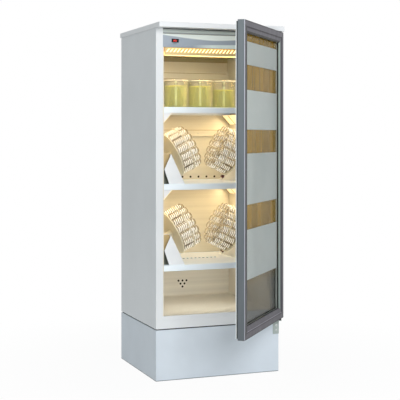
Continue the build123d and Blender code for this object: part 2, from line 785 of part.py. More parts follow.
with BuildPart() as lamp_tubes:
    tube_end = CANOPY_HALF - LAMP_HOLDER
    with BuildSketch(Plane.YZ.offset(-tube_end)):
        with Locations((TUBE_Y, SLOT_MIDDLE)):
            Circle(TUBE_LAMP_RADIUS)
    extrude(amount=2 * tube_end)
    for side in (-1, 1):
        for top in LAMP_TOPS:
            with BuildSketch(facing_front(LAMP_Y + SHEET)):
                with Locations((side * (LAMP_WALL - CORNER_TUBE_IN), top - CORNER_TUBE_IN)):
                    Circle(CORNER_TUBE_RADIUS)
            extrude(amount=CORNER_LAMP_LENGTH - 2 * SHEET, dir=(-side * SHRINK, 1, 0))
lamp_tubes.part.label = "lamp_tubes"
export_step(lamp_tubes.part, "parts/lamp_tubes.step")

# Shelves


def shelf_shape(top, vents=False):
    """A folded shelf with a lip along its front and back, narrowed to follow the drafted walls."""
    front_half = half_width(SHELF_FRONT + SHELF_SHEET) - SHELF_SIDE_GAP
    back_half = half_width(SHELF_BACK) - SHELF_SIDE_GAP
    with BuildPart() as shelf:
        with BuildSketch(Plane.XY.offset(top)):
            Polygon(
                (-front_half, SHELF_FRONT),
                (front_half, SHELF_FRONT),
                (back_half, SHELF_BACK),
                (-back_half, SHELF_BACK),
                align=None,
            )
        extrude(amount=-SHELF_SHEET)
        block((-back_half, back_half), (SHELF_BACK - SHELF_SHEET, SHELF_BACK), (top - SHELF_LIP, top))
        lip_half = front_half - 2 * SHELF_SHEET * SHRINK
        block((-lip_half, lip_half), (SHELF_FRONT, SHELF_FRONT + SHELF_SHEET), (top - SHELF_LIP, top))
        front_bend = shelf.edges().filter_by(Axis.X).group_by(Axis.Z)[-1].sort_by(Axis.Y)[0]
        fillet(front_bend, SHELF_SHEET * 0.9)
        if vents:
            with BuildSketch(Plane.XY.offset(top)):
                with Locations((0, (SHELF_FRONT + SHELF_BACK) / 2)):
                    with GridLocations(VENT_PITCH, 1, VENT_COUNT, 1):
                        Circle(VENT_RADIUS)
            extrude(amount=-SHELF_SHEET, mode=Mode.SUBTRACT)
    return shelf.part


with BuildPart() as shelf_upper:
    add(shelf_shape(UPPER_TOP))
shelf_upper.part.label = "shelf_upper"
export_step(shelf_upper.part, "parts/shelf_upper.step")

with BuildPart() as shelf_middle:
    add(shelf_shape(MIDDLE_TOP))
shelf_middle.part.label = "shelf_middle"
export_step(shelf_middle.part, "parts/shelf_middle.step")

with BuildPart() as shelf_lower:
    add(shelf_shape(LOWER_TOP, vents=True))
shelf_lower.part.label = "shelf_lower"
export_step(shelf_lower.part, "parts/shelf_lower.step")

with BuildPart() as shelf_clips:
    for clip_y in (SHELF_FRONT + CLIP_FROM_END, SHELF_BACK - CLIP_FROM_END):
        clip_wall = half_width(clip_y + CLIP_LENGTH / 2)
        with BuildSketch(facing_front(clip_y - CLIP_LENGTH / 2)):
            for top in (LOWER_TOP, MIDDLE_TOP, UPPER_TOP):
                clip_top = top - SHELF_SHEET
                Polygon(
                    (clip_wall, clip_top),
                    (clip_wall - CLIP_WIDTH, clip_top),
                    (clip_wall - CLIP_WIDTH, clip_top - SHELF_SHEET),
                    (clip_wall - SHELF_SHEET, clip_top - SHELF_SHEET),
                    (clip_wall - SHELF_SHEET, clip_top - CLIP_HEIGHT),
                    (clip_wall, clip_top - CLIP_HEIGHT),
                    align=None,
                )
        extrude(amount=-CLIP_LENGTH)
    mirror(about=Plane.YZ)
shelf_clips.part.label = "shelf_clips"
export_step(shelf_clips.part, "parts/shelf_clips.step")

# Air duct

with BuildPart() as duct_panel:
    duct_half = half_width(DUCT_FRONT + SHEET) - DUCT_SIDE_GAP
    block((-duct_half, duct_half), (DUCT_FRONT, DUCT_FRONT + SHEET), (FLOOR + DUCT_FOOT, FLOOR + DUCT_TOP))
    with BuildSketch(facing_front(DUCT_FRONT)):
        with Locations((0, MIDDLE_TOP + DUCT_HOLE_RISE)):
            with GridLocations(DUCT_HOLE_PITCH, 1, DUCT_HOLE_COUNT, 1):
                Circle(DUCT_HOLE_RADIUS)
        for row, holes in enumerate((3, 2, 1)):
            with Locations((0, FLOOR + AIR_HOLE_HEIGHT - row * AIR_HOLE_ROW)):
                with GridLocations(AIR_HOLE_PITCH, 1, holes, 1):
                    Circle(AIR_HOLE_RADIUS)
    extrude(amount=-SHEET, mode=Mode.SUBTRACT)
    # Studs stand the panel off the liner's back.
    stud_pitch_x = 2 * (duct_half - DUCT_STUD_IN)
    stud_pitch_z = DUCT_TOP - DUCT_FOOT - 2 * DUCT_STUD_IN
    with BuildSketch(facing_front(DUCT_FRONT + SHEET)):
        with Locations((0, FLOOR + (DUCT_FOOT + DUCT_TOP) / 2)):
            with GridLocations(stud_pitch_x, stud_pitch_z, 2, 2):
                Circle(DUCT_STUD)
    extrude(amount=-(DUCT_GAP - SHEET))
duct_panel.part.label = "duct_panel"
export_step(duct_panel.part, "parts/duct_panel.step")

with BuildPart() as back_rail:
    rail_foot = MIDDLE_TOP + RAIL_RISE
    block(
        (-RAIL_LENGTH / 2, RAIL_LENGTH / 2),
        (DUCT_FRONT - RAIL_DEPTH, DUCT_FRONT),
        (rail_foot, rail_foot + RAIL_HEIGHT),
    )
    block(
        (-RAIL_LENGTH / 2, RAIL_LENGTH / 2),
        (DUCT_FRONT - RAIL_DEPTH + SHEET, DUCT_FRONT),
        (rail_foot + SHEET, rail_foot + RAIL_HEIGHT - SHEET),
        mode=Mode.SUBTRACT,
    )
back_rail.part.label = "back_rail"
export_step(back_rail.part, "parts/back_rail.step")

with BuildPart() as evaporator:
    evaporator_y = (DUCT_FRONT + SHEET + CAVITY_BACK) / 2
    evaporator_foot = FLOOR + EVAPORATOR_FOOT
    block(
        (-EVAPORATOR_WIDTH / 2, EVAPORATOR_WIDTH / 2),
        (evaporator_y - EVAPORATOR_THICKNESS / 2, evaporator_y + EVAPORATOR_THICKNESS / 2),
        (evaporator_foot, evaporator_foot + EVAPORATOR_HEIGHT),
    )
    with BuildSketch(facing_front(evaporator_y)):
        with Locations((0, evaporator_foot + EVAPORATOR_HEIGHT / 2)):
            with GridLocations(EVAPORATOR_WIDTH * 0.9, EVAPORATOR_HEIGHT * 0.9, 2, 2):
                Circle(EVAPORATOR_STUD)
    extrude(amount=-(CAVITY_BACK - evaporator_y))
evaporator.part.label = "evaporator"
export_step(evaporator.part, "parts/evaporator.step")


# Fans, each made along Z with the air moving up


def fan_housing(width, height, depth, tip, hub):
    """A square frame with a round throat and a cross of struts that carries the axle's bearing."""
    throat = tip + FAN_TIP_GAP
    with BuildPart() as housing:
        with BuildSketch(Plane.XY):
            Rectangle(width, height)
            Circle(throat, mode=Mode.SUBTRACT)
        extrude(amount=depth)
        with BuildSketch(Plane.XY.offset(depth - FAN_STRUT)):
            Rectangle(2 * throat + FAN_STRUT / 2, FAN_STRUT)
            Rectangle(FAN_STRUT, 2 * throat + FAN_STRUT / 2)
            Circle(hub)
            Circle(FAN_AXLE + FAN_AXLE_CLEARANCE, mode=Mode.SUBTRACT)
        extrude(amount=FAN_STRUT)
    return housing.part


def fan_rotor(depth, tip, hub, blades):
    """A hub with an axle behind it and pitched, tapering blades."""
    front = FAN_END_GAP
    back = depth - FAN_STRUT - FAN_END_GAP
    middle = (front + back) / 2
    chord = min((back - front) * 0.85 / sin(radians(BLADE_PITCH)), 1.6 * hub)
    with BuildPart() as blade:
        for radius, width in ((hub * 0.8, chord * 0.7), (tip, chord)):
            with BuildSketch(Plane.YZ.offset(radius)):
                with Locations((0, middle)):
                    Rectangle(width, BLADE_THICKNESS, rotation=BLADE_PITCH)
        loft(ruled=True)
    with BuildPart() as rotor:
        with BuildSketch(Plane.XY.offset(front)):
            Circle(hub)
        extrude(amount=back - front)
        with BuildSketch(Plane.XY.offset(back)):
            Circle(FAN_AXLE)
        extrude(amount=FAN_STRUT)
        with PolarLocations(0, blades):
            add(blade.part)
    return rotor.part


air_fan_plane = Plane(
    origin=(0, DUCT_FRONT + SHEET, FLOOR + AIR_HOLE_HEIGHT - AIR_HOLE_ROW),
    x_dir=(-1, 0, 0),
    z_dir=(0, 1, 0),
)
with BuildPart() as circulation_fan_frame:
    with Locations(air_fan_plane):
        add(fan_housing(AIR_FAN_FRAME, AIR_FAN_FRAME, AIR_FAN_DEPTH, AIR_FAN_TIP, AIR_FAN_HUB))
circulation_fan_frame.part.label = "circulation_fan_frame"
export_step(circulation_fan_frame.part, "parts/circulation_fan_frame.step")

with BuildPart() as circulation_fan:
    with Locations(air_fan_plane):
        add(fan_rotor(AIR_FAN_DEPTH, AIR_FAN_TIP, AIR_FAN_HUB, AIR_FAN_BLADES))
circulation_fan.part.label = "circulation_fan"
export_step(circulation_fan.part, "parts/circulation_fan.step")

cooling_fan_plane = Plane(
    origin=(CONDENSER_X, CONDENSER_Y + CONDENSER_DEPTH / 2, PAN_SHEET + CONDENSER_HEIGHT / 2),
    x_dir=(-1, 0, 0),
    z_dir=(0, 1, 0),
)
with BuildPart() as condenser_shroud:
    with Locations(cooling_fan_plane):
        add(
            fan_housing(
                CONDENSER_WIDTH, CONDENSER_HEIGHT, COOLING_FAN_DEPTH, COOLING_FAN_TIP, COOLING_FAN_HUB
            )
        )
condenser_shroud.part.label = "condenser_shroud"
export_step(condenser_shroud.part, "parts/condenser_shroud.step")

with BuildPart() as condenser_fan:
    with Locations(cooling_fan_plane):
        add(fan_rotor(COOLING_FAN_DEPTH, COOLING_FAN_TIP, COOLING_FAN_HUB, COOLING_FAN_BLADES))
condenser_fan.part.label = "condenser_fan"
export_step(condenser_fan.part, "parts/condenser_fan.step")

# Cooling unit in the plinth

with BuildPart() as compressor:
    shell_foot = PAN_SHEET + MOUNT_HEIGHT
    with BuildSketch(Plane.XY.offset(shell_foot)):
        with Locations((COMPRESSOR_X, COMPRESSOR_Y)):
            SlotCenterToCenter(COMPRESSOR_STRETCH, 2 * COMPRESSOR_RADIUS)
    extrude(amount=COMPRESSOR_HEIGHT)
    chamfer(compressor.faces().sort_by(Axis.Z)[-1].edges(), COMPRESSOR_SHOULDER)
    with BuildSketch(Plane.XY.offset(shell_foot)):
        with Locations((COMPRESSOR_X, COMPRESSOR_Y)):
            Rectangle(COMPRESSOR_FOOT_X + 2 * MOUNT_RADIUS, COMPRESSOR_FOOT_Y + 2 * MOUNT_RADIUS)
    extrude(amount=2 * SHEET)
    with BuildSketch(Plane.XY.offset(PAN_SHEET)):
        with Locations((COMPRESSOR_X, COMPRESSOR_Y)):
            with GridLocations(COMPRESSOR_FOOT_X, COMPRESSOR_FOOT_Y, 2, 2):
                Circle(MOUNT_RADIUS)
    extrude(amount=MOUNT_HEIGHT)
compressor.part.label = "compressor"
export_step(compressor.part, "parts/compressor.step")

with BuildPart() as condenser:
    fin_pitch = (CONDENSER_WIDTH - CONDENSER_FIN_SHEET) / (CONDENSER_FINS - 1)
    with Locations((CONDENSER_X, CONDENSER_Y, PAN_SHEET + CONDENSER_HEIGHT / 2)):
        with GridLocations(fin_pitch, 1, CONDENSER_FINS, 1):
            Box(CONDENSER_FIN_SHEET, CONDENSER_DEPTH, CONDENSER_HEIGHT)
    row_pitch = CONDENSER_HEIGHT / CONDENSER_ROWS
    condenser_left = CONDENSER_X - CONDENSER_WIDTH / 2
    with BuildSketch(Plane.YZ.offset(condenser_left)):
        with Locations((CONDENSER_Y, PAN_SHEET + CONDENSER_HEIGHT / 2)):
            with GridLocations(1, row_pitch, 1, CONDENSER_ROWS):
                Circle(CONDENSER_TUBE)
    extrude(amount=CONDENSER_WIDTH)
    # The hot gas pipe comes from the compressor, and the liquid pipe goes on up to the deck.
    tube_top = PAN_SHEET + CONDENSER_HEIGHT - row_pitch / 2
    tube_foot = PAN_SHEET + row_pitch / 2
    shell_side = COMPRESSOR_X - COMPRESSOR_STRETCH / 2 - COMPRESSOR_RADIUS
    turn_x = (shell_side + CONDENSER_X + CONDENSER_WIDTH / 2) / 2
    with BuildLine() as gas_path:
        FilletPolyline(
            (CONDENSER_X + CONDENSER_WIDTH / 2 - PIPE_RADIUS, CONDENSER_Y, tube_top),
            (turn_x, CONDENSER_Y, tube_top),
            (turn_x, COMPRESSOR_Y, tube_top),
            (shell_side - PIPE_END_GAP, COMPRESSOR_Y, tube_top),
            radius=PIPE_BEND,
        )
    with BuildSketch(gas_path.line ^ 0):
        Circle(PIPE_RADIUS)
    sweep(path=gas_path.line)
    riser_x = condenser_left - 2 * PIPE_BEND
    with BuildLine() as liquid_path:
        FilletPolyline(
            (condenser_left + PIPE_RADIUS, CONDENSER_Y, tube_foot),
            (riser_x, CONDENSER_Y, tube_foot),
            (riser_x, CONDENSER_Y, PLINTH_HEIGHT),
            radius=PIPE_BEND,
        )
    with BuildSketch(liquid_path.line ^ 0):
        Circle(PIPE_RADIUS)
    sweep(path=liquid_path.line)
condenser.part.label = "condenser"
export_step(condenser.part, "parts/condenser.step")

with BuildPart() as drip_tray:
    with Locations((TRAY_X, TRAY_Y, PAN_SHEET + TRAY_HEIGHT / 2)):
        Box(TRAY_WIDTH, TRAY_DEPTH, TRAY_HEIGHT)
    tray_rim = drip_tray.faces().sort_by(Axis.Z)[-1]
    offset(amount=-TRAY_WALL, openings=tray_rim)
drip_tray.part.label = "drip_tray"
export_step(drip_tray.part, "parts/drip_tray.step")

with BuildPart() as power_inlet:
    inlet_face = Plane(origin=(INLET_X, BACK, INLET_Z), x_dir=(-1, 0, 0), z_dir=(0, 1, 0))
    opening_width = INLET_WIDTH - 2 * INLET_FLANGE
    opening_height = INLET_HEIGHT - 2 * INLET_FLANGE
    with BuildSketch(inlet_face):
        Rectangle(INLET_WIDTH, INLET_HEIGHT)
    extrude(amount=SHEET)
    with BuildSketch(inlet_face):
        Rectangle(opening_width, opening_height)
    extrude(amount=-INLET_DEPTH)
    with BuildSketch(inlet_face.offset(SHEET)):
        Rectangle(opening_width - 2 * INLET_FLANGE, opening_height - INLET_FLANGE)
        with GridLocations(INLET_PIN_PITCH, 1, 3, 1):
            Circle(INLET_PIN_RADIUS, mode=Mode.SUBTRACT)
    extrude(amount=-INLET_RECESS, mode=Mode.SUBTRACT)
power_inlet.part.label = "power_inlet"
export_step(power_inlet.part, "parts/power_inlet.step")

# Carousels and their vials, drawn once round an axle along Z and then set on each tilted axle

with BuildPart() as carousel_pattern:
    with BuildSketch(Plane.XY):
        RegularPolygon(PLATE_RADIUS, PLATE_SIDES, rotation=180 / PLATE_SIDES)
    extrude(amount=PLATE_THICKNESS)
    with BuildSketch(Plane.XY.offset(RING_HEIGHT)):
        RegularPolygon(PLATE_RADIUS, PLATE_SIDES, rotation=180 / PLATE_SIDES)
        RegularPolygon(PLATE_RADIUS - RING_WIDTH, PLATE_SIDES, rotation=180 / PLATE_SIDES, mode=Mode.SUBTRACT)
        with PolarLocations(0, SPOKE_COUNT // 2, angular_range=180):
            Rectangle(2 * (PLATE_RADIUS - RING_WIDTH), SPOKE_WIDTH)
    extrude(amount=RING_THICKNESS)
    with BuildSketch(Plane.XY):
        Circle(ROD_RADIUS)
    extrude(amount=RING_HEIGHT + RING_THICKNESS)
    with BuildSketch(Plane.XY):
        Circle(HUB_RADIUS)
    extrude(amount=-(STAND_OFF - BUSH_PROUD - HUB_GAP))
    with BuildSketch(Plane.XY):
        Circle(SHAFT_RADIUS)
    extrude(amount=-SHAFT_END)

with BuildPart() as vial_pattern:
    with BuildSketch(Plane.XY.offset(PLATE_THICKNESS)):
        with PolarLocations(OUTER_VIAL_CIRCLE, OUTER_VIAL_COUNT, start_angle=180 / OUTER_VIAL_COUNT):
            RegularPolygon(VIAL_RADIUS, VIAL_SIDES)
        with PolarLocations(INNER_VIAL_CIRCLE, INNER_VIAL_COUNT, start_angle=180 / INNER_VIAL_COUNT):
            RegularPolygon(VIAL_RADIUS, VIAL_SIDES)
    extrude(amount=VIAL_LENGTH)

AXLES = {}
for level, shelf_top in (("lower", LOWER_TOP), ("upper", MIDDLE_TOP)):
    for side_name, side in (("left", -1), ("right", 1)):
        AXLES[f"{level}_{side_name}"] = Plane(
            origin=(side * CAROUSEL_X, FRONT + CAROUSEL_Y, shelf_top + CAROUSEL_RISE),
            x_dir=(0, 1, 0),
            z_dir=(-side * cos(radians(TILT)), 0, sin(radians(TILT))),
        )

for place, axle in AXLES.items():
    with BuildPart() as carousel:
        with Locations(axle):
            add(carousel_pattern.part)
    carousel.part.label = f"carousel_{place}"
    export_step(carousel.part, f"parts/carousel_{place}.step")
    with BuildPart() as vials:
        with Locations(axle):
            add(vial_pattern.part)
    vials.part.label = f"vials_{place}"
    export_step(vials.part, f"parts/vials_{place}.step")

# Folded frames that hold the carousels, with the drives behind them

SLOPE = tan(radians(TILT))
FRAME_FOOT = CAROUSEL_X + STAND_OFF / cos(radians(TILT)) - CAROUSEL_RISE * SLOPE
PLATE_STEP = SHELF_SHEET / cos(radians(TILT))
FRAME_Y = FRONT + FRAME_FRONT
FRAME_END = FRAME_Y + FRAME_LENGTH
HOUSING_Y = FRAME_Y + HOUSING_INSET
HOUSING_END = FRAME_END - HOUSING_INSET
HOUSING_WALL = half_width(HOUSING_END) - HOUSING_WALL_GAP


def tilted_x(height, step=0.0):
    """How far a frame's tilted face, or a plane behind it, is from the middle at a height."""
    return FRAME_FOOT + height * SLOPE + step


def frame_shape():
    """The left-hand frame on its shelf, with Z measured up from the shelf."""
    with BuildPart() as frame:
        with BuildSketch(facing_front(FRAME_Y)):
            Polygon(
                (-tilted_x(0), 0),
                (-tilted_x(FRAME_HEIGHT), FRAME_HEIGHT),
                (-tilted_x(FRAME_HEIGHT, PLATE_STEP), FRAME_HEIGHT),
                (-tilted_x(0, PLATE_STEP), 0),
                align=None,
            )
        extrude(amount=-FRAME_LENGTH)
        for cheek_y in (FRAME_Y, FRAME_END - SHELF_SHEET):
            wall = half_width(cheek_y + SHELF_SHEET)
            with BuildSketch(facing_front(cheek_y)):
                Polygon(
                    (-tilted_x(0), 0),
                    (-tilted_x(FRAME_HEIGHT), FRAME_HEIGHT),
                    (-(wall - KNEE_IN), KNEE_HEIGHT),
                    (-(wall - HEEL_IN), 0),
                    align=None,
                )
            extrude(amount=-SHELF_SHEET)
        with BuildSketch(facing_front(HOUSING_Y)):
            Polygon(
                (-tilted_x(0, PLATE_STEP), 0),
                (-tilted_x(FRAME_HEIGHT, PLATE_STEP), FRAME_HEIGHT),
                (-HOUSING_WALL, FRAME_HEIGHT),
                (-HOUSING_WALL, 0),
                align=None,
            )
        extrude(amount=-(HOUSING_END - HOUSING_Y))
        with BuildSketch(facing_front(HOUSING_Y + SHELF_SHEET)):
            Polygon(
                (-tilted_x(0, PLATE_STEP), 0),
                (-tilted_x(FRAME_HEIGHT - SHELF_SHEET, PLATE_STEP), FRAME_HEIGHT - SHELF_SHEET),
                (-HOUSING_WALL + SHELF_SHEET, FRAME_HEIGHT - SHELF_SHEET),
                (-HOUSING_WALL + SHELF_SHEET, 0),
                align=None,
            )
        extrude(amount=-(HOUSING_END - HOUSING_Y - 2 * SHELF_SHEET), mode=Mode.SUBTRACT)
    return frame.part


KNOB_PLANES = {}
for level, shelf_top in (("lower", LOWER_TOP), ("upper", MIDDLE_TOP)):
    KNOB_PLANES[level] = Plane(
        origin=(tilted_x(KNOB_RISE), FRAME_END - KNOB_FROM_BACK, shelf_top + KNOB_RISE),
        x_dir=(0, 1, 0),
        z_dir=(-cos(radians(TILT)), 0, sin(radians(TILT))),
    )

with BuildPart() as carousel_frames:
    for shelf_top in (LOWER_TOP, MIDDLE_TOP):
        with Locations((0, 0, shelf_top)):
            add(frame_shape())
    mirror(about=Plane.YZ)
    for axle in AXLES.values():
        with BuildSketch(axle.offset(-STAND_OFF)):
            Circle(BUSH_RADIUS)
        extrude(amount=-SHELF_SHEET, mode=Mode.SUBTRACT)
    for knob_plane in KNOB_PLANES.values():
        with BuildSketch(knob_plane):
            Circle(KNOB_SHAFT_RADIUS + SHAFT_CLEARANCE)
        extrude(amount=-SHELF_SHEET, mode=Mode.SUBTRACT)
carousel_frames.part.label = "carousel_frames"
export_step(carousel_frames.part, "parts/carousel_frames.step")

with BuildPart() as gearmotors:
    for axle in AXLES.values():
        with BuildSketch(axle.offset(-STAND_OFF + BUSH_PROUD)):
            Circle(BUSH_RADIUS)
        extrude(amount=-BUSH_PROUD - SHELF_SHEET - BUSH_TAIL)
        motor_face = axle.offset(-STAND_OFF - SHELF_SHEET - BUSH_TAIL)
        with BuildSketch(motor_face):
            Circle(MOTOR_RADIUS)
        extrude(amount=-MOTOR_LENGTH)
        with BuildSketch(axle.offset(-STAND_OFF + BUSH_PROUD)):
            Circle(SHAFT_RADIUS + SHAFT_CLEARANCE)
        extrude(amount=-BUSH_PROUD - SHELF_SHEET - BUSH_TAIL, mode=Mode.SUBTRACT)
        with BuildSketch(motor_face):
            Circle(SHAFT_RADIUS + MOTOR_BORE_CLEARANCE)
        extrude(amount=-MOTOR_BORE_DEPTH, mode=Mode.SUBTRACT)
gearmotors.part.label = "gearmotors"
export_step(gearmotors.part, "parts/gearmotors.step")

for level, knob_plane in KNOB_PLANES.items():
    with BuildPart() as speed_knob:
        with BuildSketch(knob_plane.offset(HUB_GAP)):
            Circle(KNOB_COLLAR_RADIUS)
        extrude(amount=KNOB_COLLAR)
        with BuildSketch(knob_plane.offset(HUB_GAP + KNOB_COLLAR)):
            Circle(KNOB_RADIUS)
        extrude(amount=KNOB_HEIGHT, taper=KNOB_DRAFT)
        with BuildSketch(knob_plane.offset(HUB_GAP)):
            Circle(KNOB_SHAFT_RADIUS)
        extrude(amount=-KNOB_SHAFT_TAIL)
    speed_knob.part.label = f"speed_knob_{level}"
    export_step(speed_knob.part, f"parts/speed_knob_{level}.step")

# Culture jars on the upper shelf

JAR_COUNT = len(LIQUID_DEPTHS)
JAR_MIDDLES = [((i - (JAR_COUNT - 1) / 2) * JAR_PITCH, FRONT + JAR_Y) for i in range(JAR_COUNT)]
JAR_TOP = UPPER_TOP + JAR_HEIGHT
LIQUID_FOOT = UPPER_TOP + JAR_FLOOR

with BuildPart() as jars:
    with BuildSketch(Plane.XY.offset(UPPER_TOP)):
        with Locations(*JAR_MIDDLES):
            Circle(JAR_RADIUS)
    extrude(amount=JAR_HEIGHT)
    with BuildSketch(Plane.XY.offset(LIQUID_FOOT)):
        with Locations(*JAR_MIDDLES):
            Circle(JAR_RADIUS - JAR_WALL)
    extrude(amount=JAR_HEIGHT - JAR_FLOOR, mode=Mode.SUBTRACT)
jars.part.label = "jars"
export_step(jars.part, "parts/jars.step")

with BuildPart() as jar_liquid:
    for middle, depth in zip(JAR_MIDDLES, LIQUID_DEPTHS):
        with BuildSketch(Plane.XY.offset(LIQUID_FOOT)):
            with Locations(middle):
                Circle(JAR_RADIUS - JAR_WALL - JAR_CLEARANCE)
        extrude(amount=depth)
        with BuildSketch(Plane.XY.offset(LIQUID_FOOT + AERATOR_FOOT_GAP)):
            with Locations(middle):
                Circle(AERATOR_RADIUS + JAR_CLEARANCE)
        extrude(amount=depth, mode=Mode.SUBTRACT)
jar_liquid.part.label = "jar_liquid"
export_step(jar_liquid.part, "parts/jar_liquid.step")

with BuildPart() as jar_lids:
    with BuildSketch(Plane.XY.offset(JAR_TOP)):
        with Locations(*JAR_MIDDLES):
            Circle(JAR_RADIUS)
    extrude(amount=LID_THICKNESS)
    with BuildSketch(Plane.XY.offset(JAR_TOP)):
        with Locations(*JAR_MIDDLES):
            Circle(JAR_RADIUS - JAR_WALL - JAR_CLEARANCE)
    extrude(amount=-LID_PLUG)
    with BuildSketch(Plane.XY.offset(JAR_TOP)):
        with Locations(*JAR_MIDDLES):
            Circle(AERATOR_RADIUS)
    extrude(amount=-(JAR_HEIGHT - JAR_FLOOR - AERATOR_FOOT_GAP - JAR_CLEARANCE))
    with BuildSketch(Plane.XY.offset(JAR_TOP - LID_PLUG - AERATOR_COLLAR_DROP)):
        with Locations(*JAR_MIDDLES):
            Circle(AERATOR_COLLAR_RADIUS)
    extrude(amount=-AERATOR_COLLAR_HEIGHT)
jar_lids.part.label = "jar_lids"
export_step(jar_lids.part, "parts/jar_lids.step")

# Door, drawn on the plane of the cabinet's front swung round the hinge by the opening angle

HINGE_X = RIGHT - HINGE_IN
HINGE_Y = FRONT - HINGE_OUT
hinge_line = Axis((HINGE_X, HINGE_Y, 0), (0, 0, 1))
turn = radians(DOOR_OPEN)
door = Plane(
    origin=(
        HINGE_X - HINGE_X * cos(turn) - HINGE_OUT * sin(turn),
        HINGE_Y - HINGE_X * sin(turn) + HINGE_OUT * cos(turn),
        0,
    ),
    x_dir=(cos(turn), sin(turn), 0),
    z_dir=(sin(turn), -cos(turn), 0),
)
DOOR_FOOT = BODY_FOOT + DOOR_FOOT_GAP
DOOR_TOP = BODY_TOP - DOOR_TOP_GAP
DOOR_HEIGHT = DOOR_TOP - DOOR_FOOT
DOOR_MIDDLE = (DOOR_TOP + DOOR_FOOT) / 2
DOOR_BACK = GASKET_GAP + GASKET_THICKNESS
DOOR_FACE = DOOR_BACK + DOOR_THICKNESS
GLASS_BACK = DOOR_BACK + BEAD
GLASS_FACE = GLASS_BACK + 2 * PANE + PANE_GAP
SEAT = FRAME_FACE - GLASS_SEAT


def mitred_members(section):
    """Four mitred members round the door; the section is given inward from its edge and outward."""
    corners = (
        ((LEFT, DOOR_FOOT), (1, 0), WIDTH),
        ((RIGHT, DOOR_FOOT), (0, 1), DOOR_HEIGHT),
        ((RIGHT, DOOR_TOP), (-1, 0), WIDTH),
        ((LEFT, DOOR_TOP), (0, -1), DOOR_HEIGHT),
    )
    widest = max(inward for inward, out in section)
    members = []
    for (corner_x, corner_z), (run_x, run_z), length in corners:
        corner = door.origin + door.x_dir * corner_x + door.y_dir * corner_z
        run = door.x_dir * run_x + door.y_dir * run_z
        inward = door.z_dir.cross(run)
        with BuildPart() as member:
            with BuildSketch(Plane(origin=corner, x_dir=inward, z_dir=run)):
                Polygon(*section, align=None)
            extrude(amount=length)
            with BuildSketch(Plane(origin=corner, x_dir=run, z_dir=door.z_dir)):
                Polygon(
                    (MITRE_GAP, 0),
                    (length - MITRE_GAP, 0),
                    (length - widest - MITRE_GAP, widest),
                    (widest + MITRE_GAP, widest),
                    align=None,
                )
            extrude(amount=DOOR_FACE, mode=Mode.INTERSECT)
        members.append(member.part)
    return members


with BuildPart() as door_frame:
    add(
        mitred_members(
            [
                (0, DOOR_BACK),
                (0, DOOR_FACE - EDGE_BREAK),
                (EDGE_BREAK, DOOR_FACE),
                (FRAME_BAND, DOOR_FACE),
                (FRAME_BAND + GROOVE_DEPTH, DOOR_FACE - GROOVE_DEPTH),
                (FRAME_BAND + FRAME_GROOVE, DOOR_FACE - GROOVE_DEPTH / 3),
                (FRAME_FACE - EDGE_BREAK, DOOR_FACE - BEVEL_DROP),
                (FRAME_FACE, DOOR_FACE - LIP_DROP),
                (FRAME_FACE, GLASS_FACE),
                (SEAT, GLASS_FACE),
                (SEAT, GLASS_BACK),
                (FRAME_FACE, GLASS_BACK),
                (FRAME_FACE, DOOR_BACK),
            ]
        )
    )
    # Seats for the hinge bushes, the upper one widened for the bush's flange.
    with BuildSketch(Plane.XY.offset(DOOR_FOOT)):
        with Locations((HINGE_X, HINGE_Y)):
            Circle(DOOR_BUSH_RADIUS + BUSH_SEAT)
    extrude(amount=PIN_REACH, mode=Mode.SUBTRACT)
    with BuildSketch(Plane.XY.offset(DOOR_TOP)):
        with Locations((HINGE_X, HINGE_Y)):
            Circle(DOOR_BUSH_RADIUS + BUSH_SEAT)
    extrude(amount=-PIN_REACH, mode=Mode.SUBTRACT)
    with BuildSketch(Plane.XY.offset(DOOR_TOP)):
        with Locations((HINGE_X, HINGE_Y)):
            Circle(DOOR_BUSH_FLANGE_RADIUS + BUSH_SEAT)
    extrude(amount=-DOOR_BUSH_FLANGE, mode=Mode.SUBTRACT)
door_frame.part.label = "door_frame"
export_step(door_frame.part, "parts/door_frame.step")

PANE_WIDTH = WIDTH - 2 * (SEAT + PANE_EDGE_GAP)
PANE_HEIGHT = DOOR_HEIGHT - 2 * (SEAT + PANE_EDGE_GAP)
with BuildPart() as door_panes:
    for pane_back in (GLASS_BACK, GLASS_FACE - PANE):
        with BuildSketch(door.offset(pane_back)):
            with Locations((0, DOOR_MIDDLE)):
                Rectangle(PANE_WIDTH, PANE_HEIGHT)
        extrude(amount=PANE)
door_panes.part.label = "door_panes"
export_step(door_panes.part, "parts/door_panes.step")

with BuildPart() as pane_spacer:
    with BuildSketch(door.offset(GLASS_BACK + PANE)):
        with Locations((0, DOOR_MIDDLE)):
            Rectangle(PANE_WIDTH, PANE_HEIGHT)
            Rectangle(PANE_WIDTH - 2 * SPACER_WIDTH, PANE_HEIGHT - 2 * SPACER_WIDTH, mode=Mode.SUBTRACT)
    extrude(amount=PANE_GAP)
pane_spacer.part.label = "pane_spacer"
export_step(pane_spacer.part, "parts/pane_spacer.step")

with BuildPart() as frosted_bands:
    with BuildSketch(door.offset(GLASS_FACE - PANE)):
        for band_top, band_foot in FILM_BANDS_DOWN:
            with Locations((0, DOOR_TOP - (band_foot + band_top) / 2)):
                Rectangle(PANE_WIDTH - 2 * (SPACER_WIDTH + FILM_EDGE_GAP), band_foot - band_top)
    extrude(amount=-FILM)
frosted_bands.part.label = "frosted_bands"
export_step(frosted_bands.part, "parts/frosted_bands.step")

with BuildPart() as door_gasket:
    add(
        mitred_members(
            [
                (GASKET_INSET, GASKET_GAP),
                (GASKET_INSET, DOOR_BACK),
                (GASKET_INSET + GASKET_WIDTH, DOOR_BACK),
                (GASKET_INSET + GASKET_WIDTH, GASKET_GAP),
            ]
        )
    )
door_gasket.part.label = "door_gasket"
export_step(door_gasket.part, "parts/door_gasket.step")

# Hinge

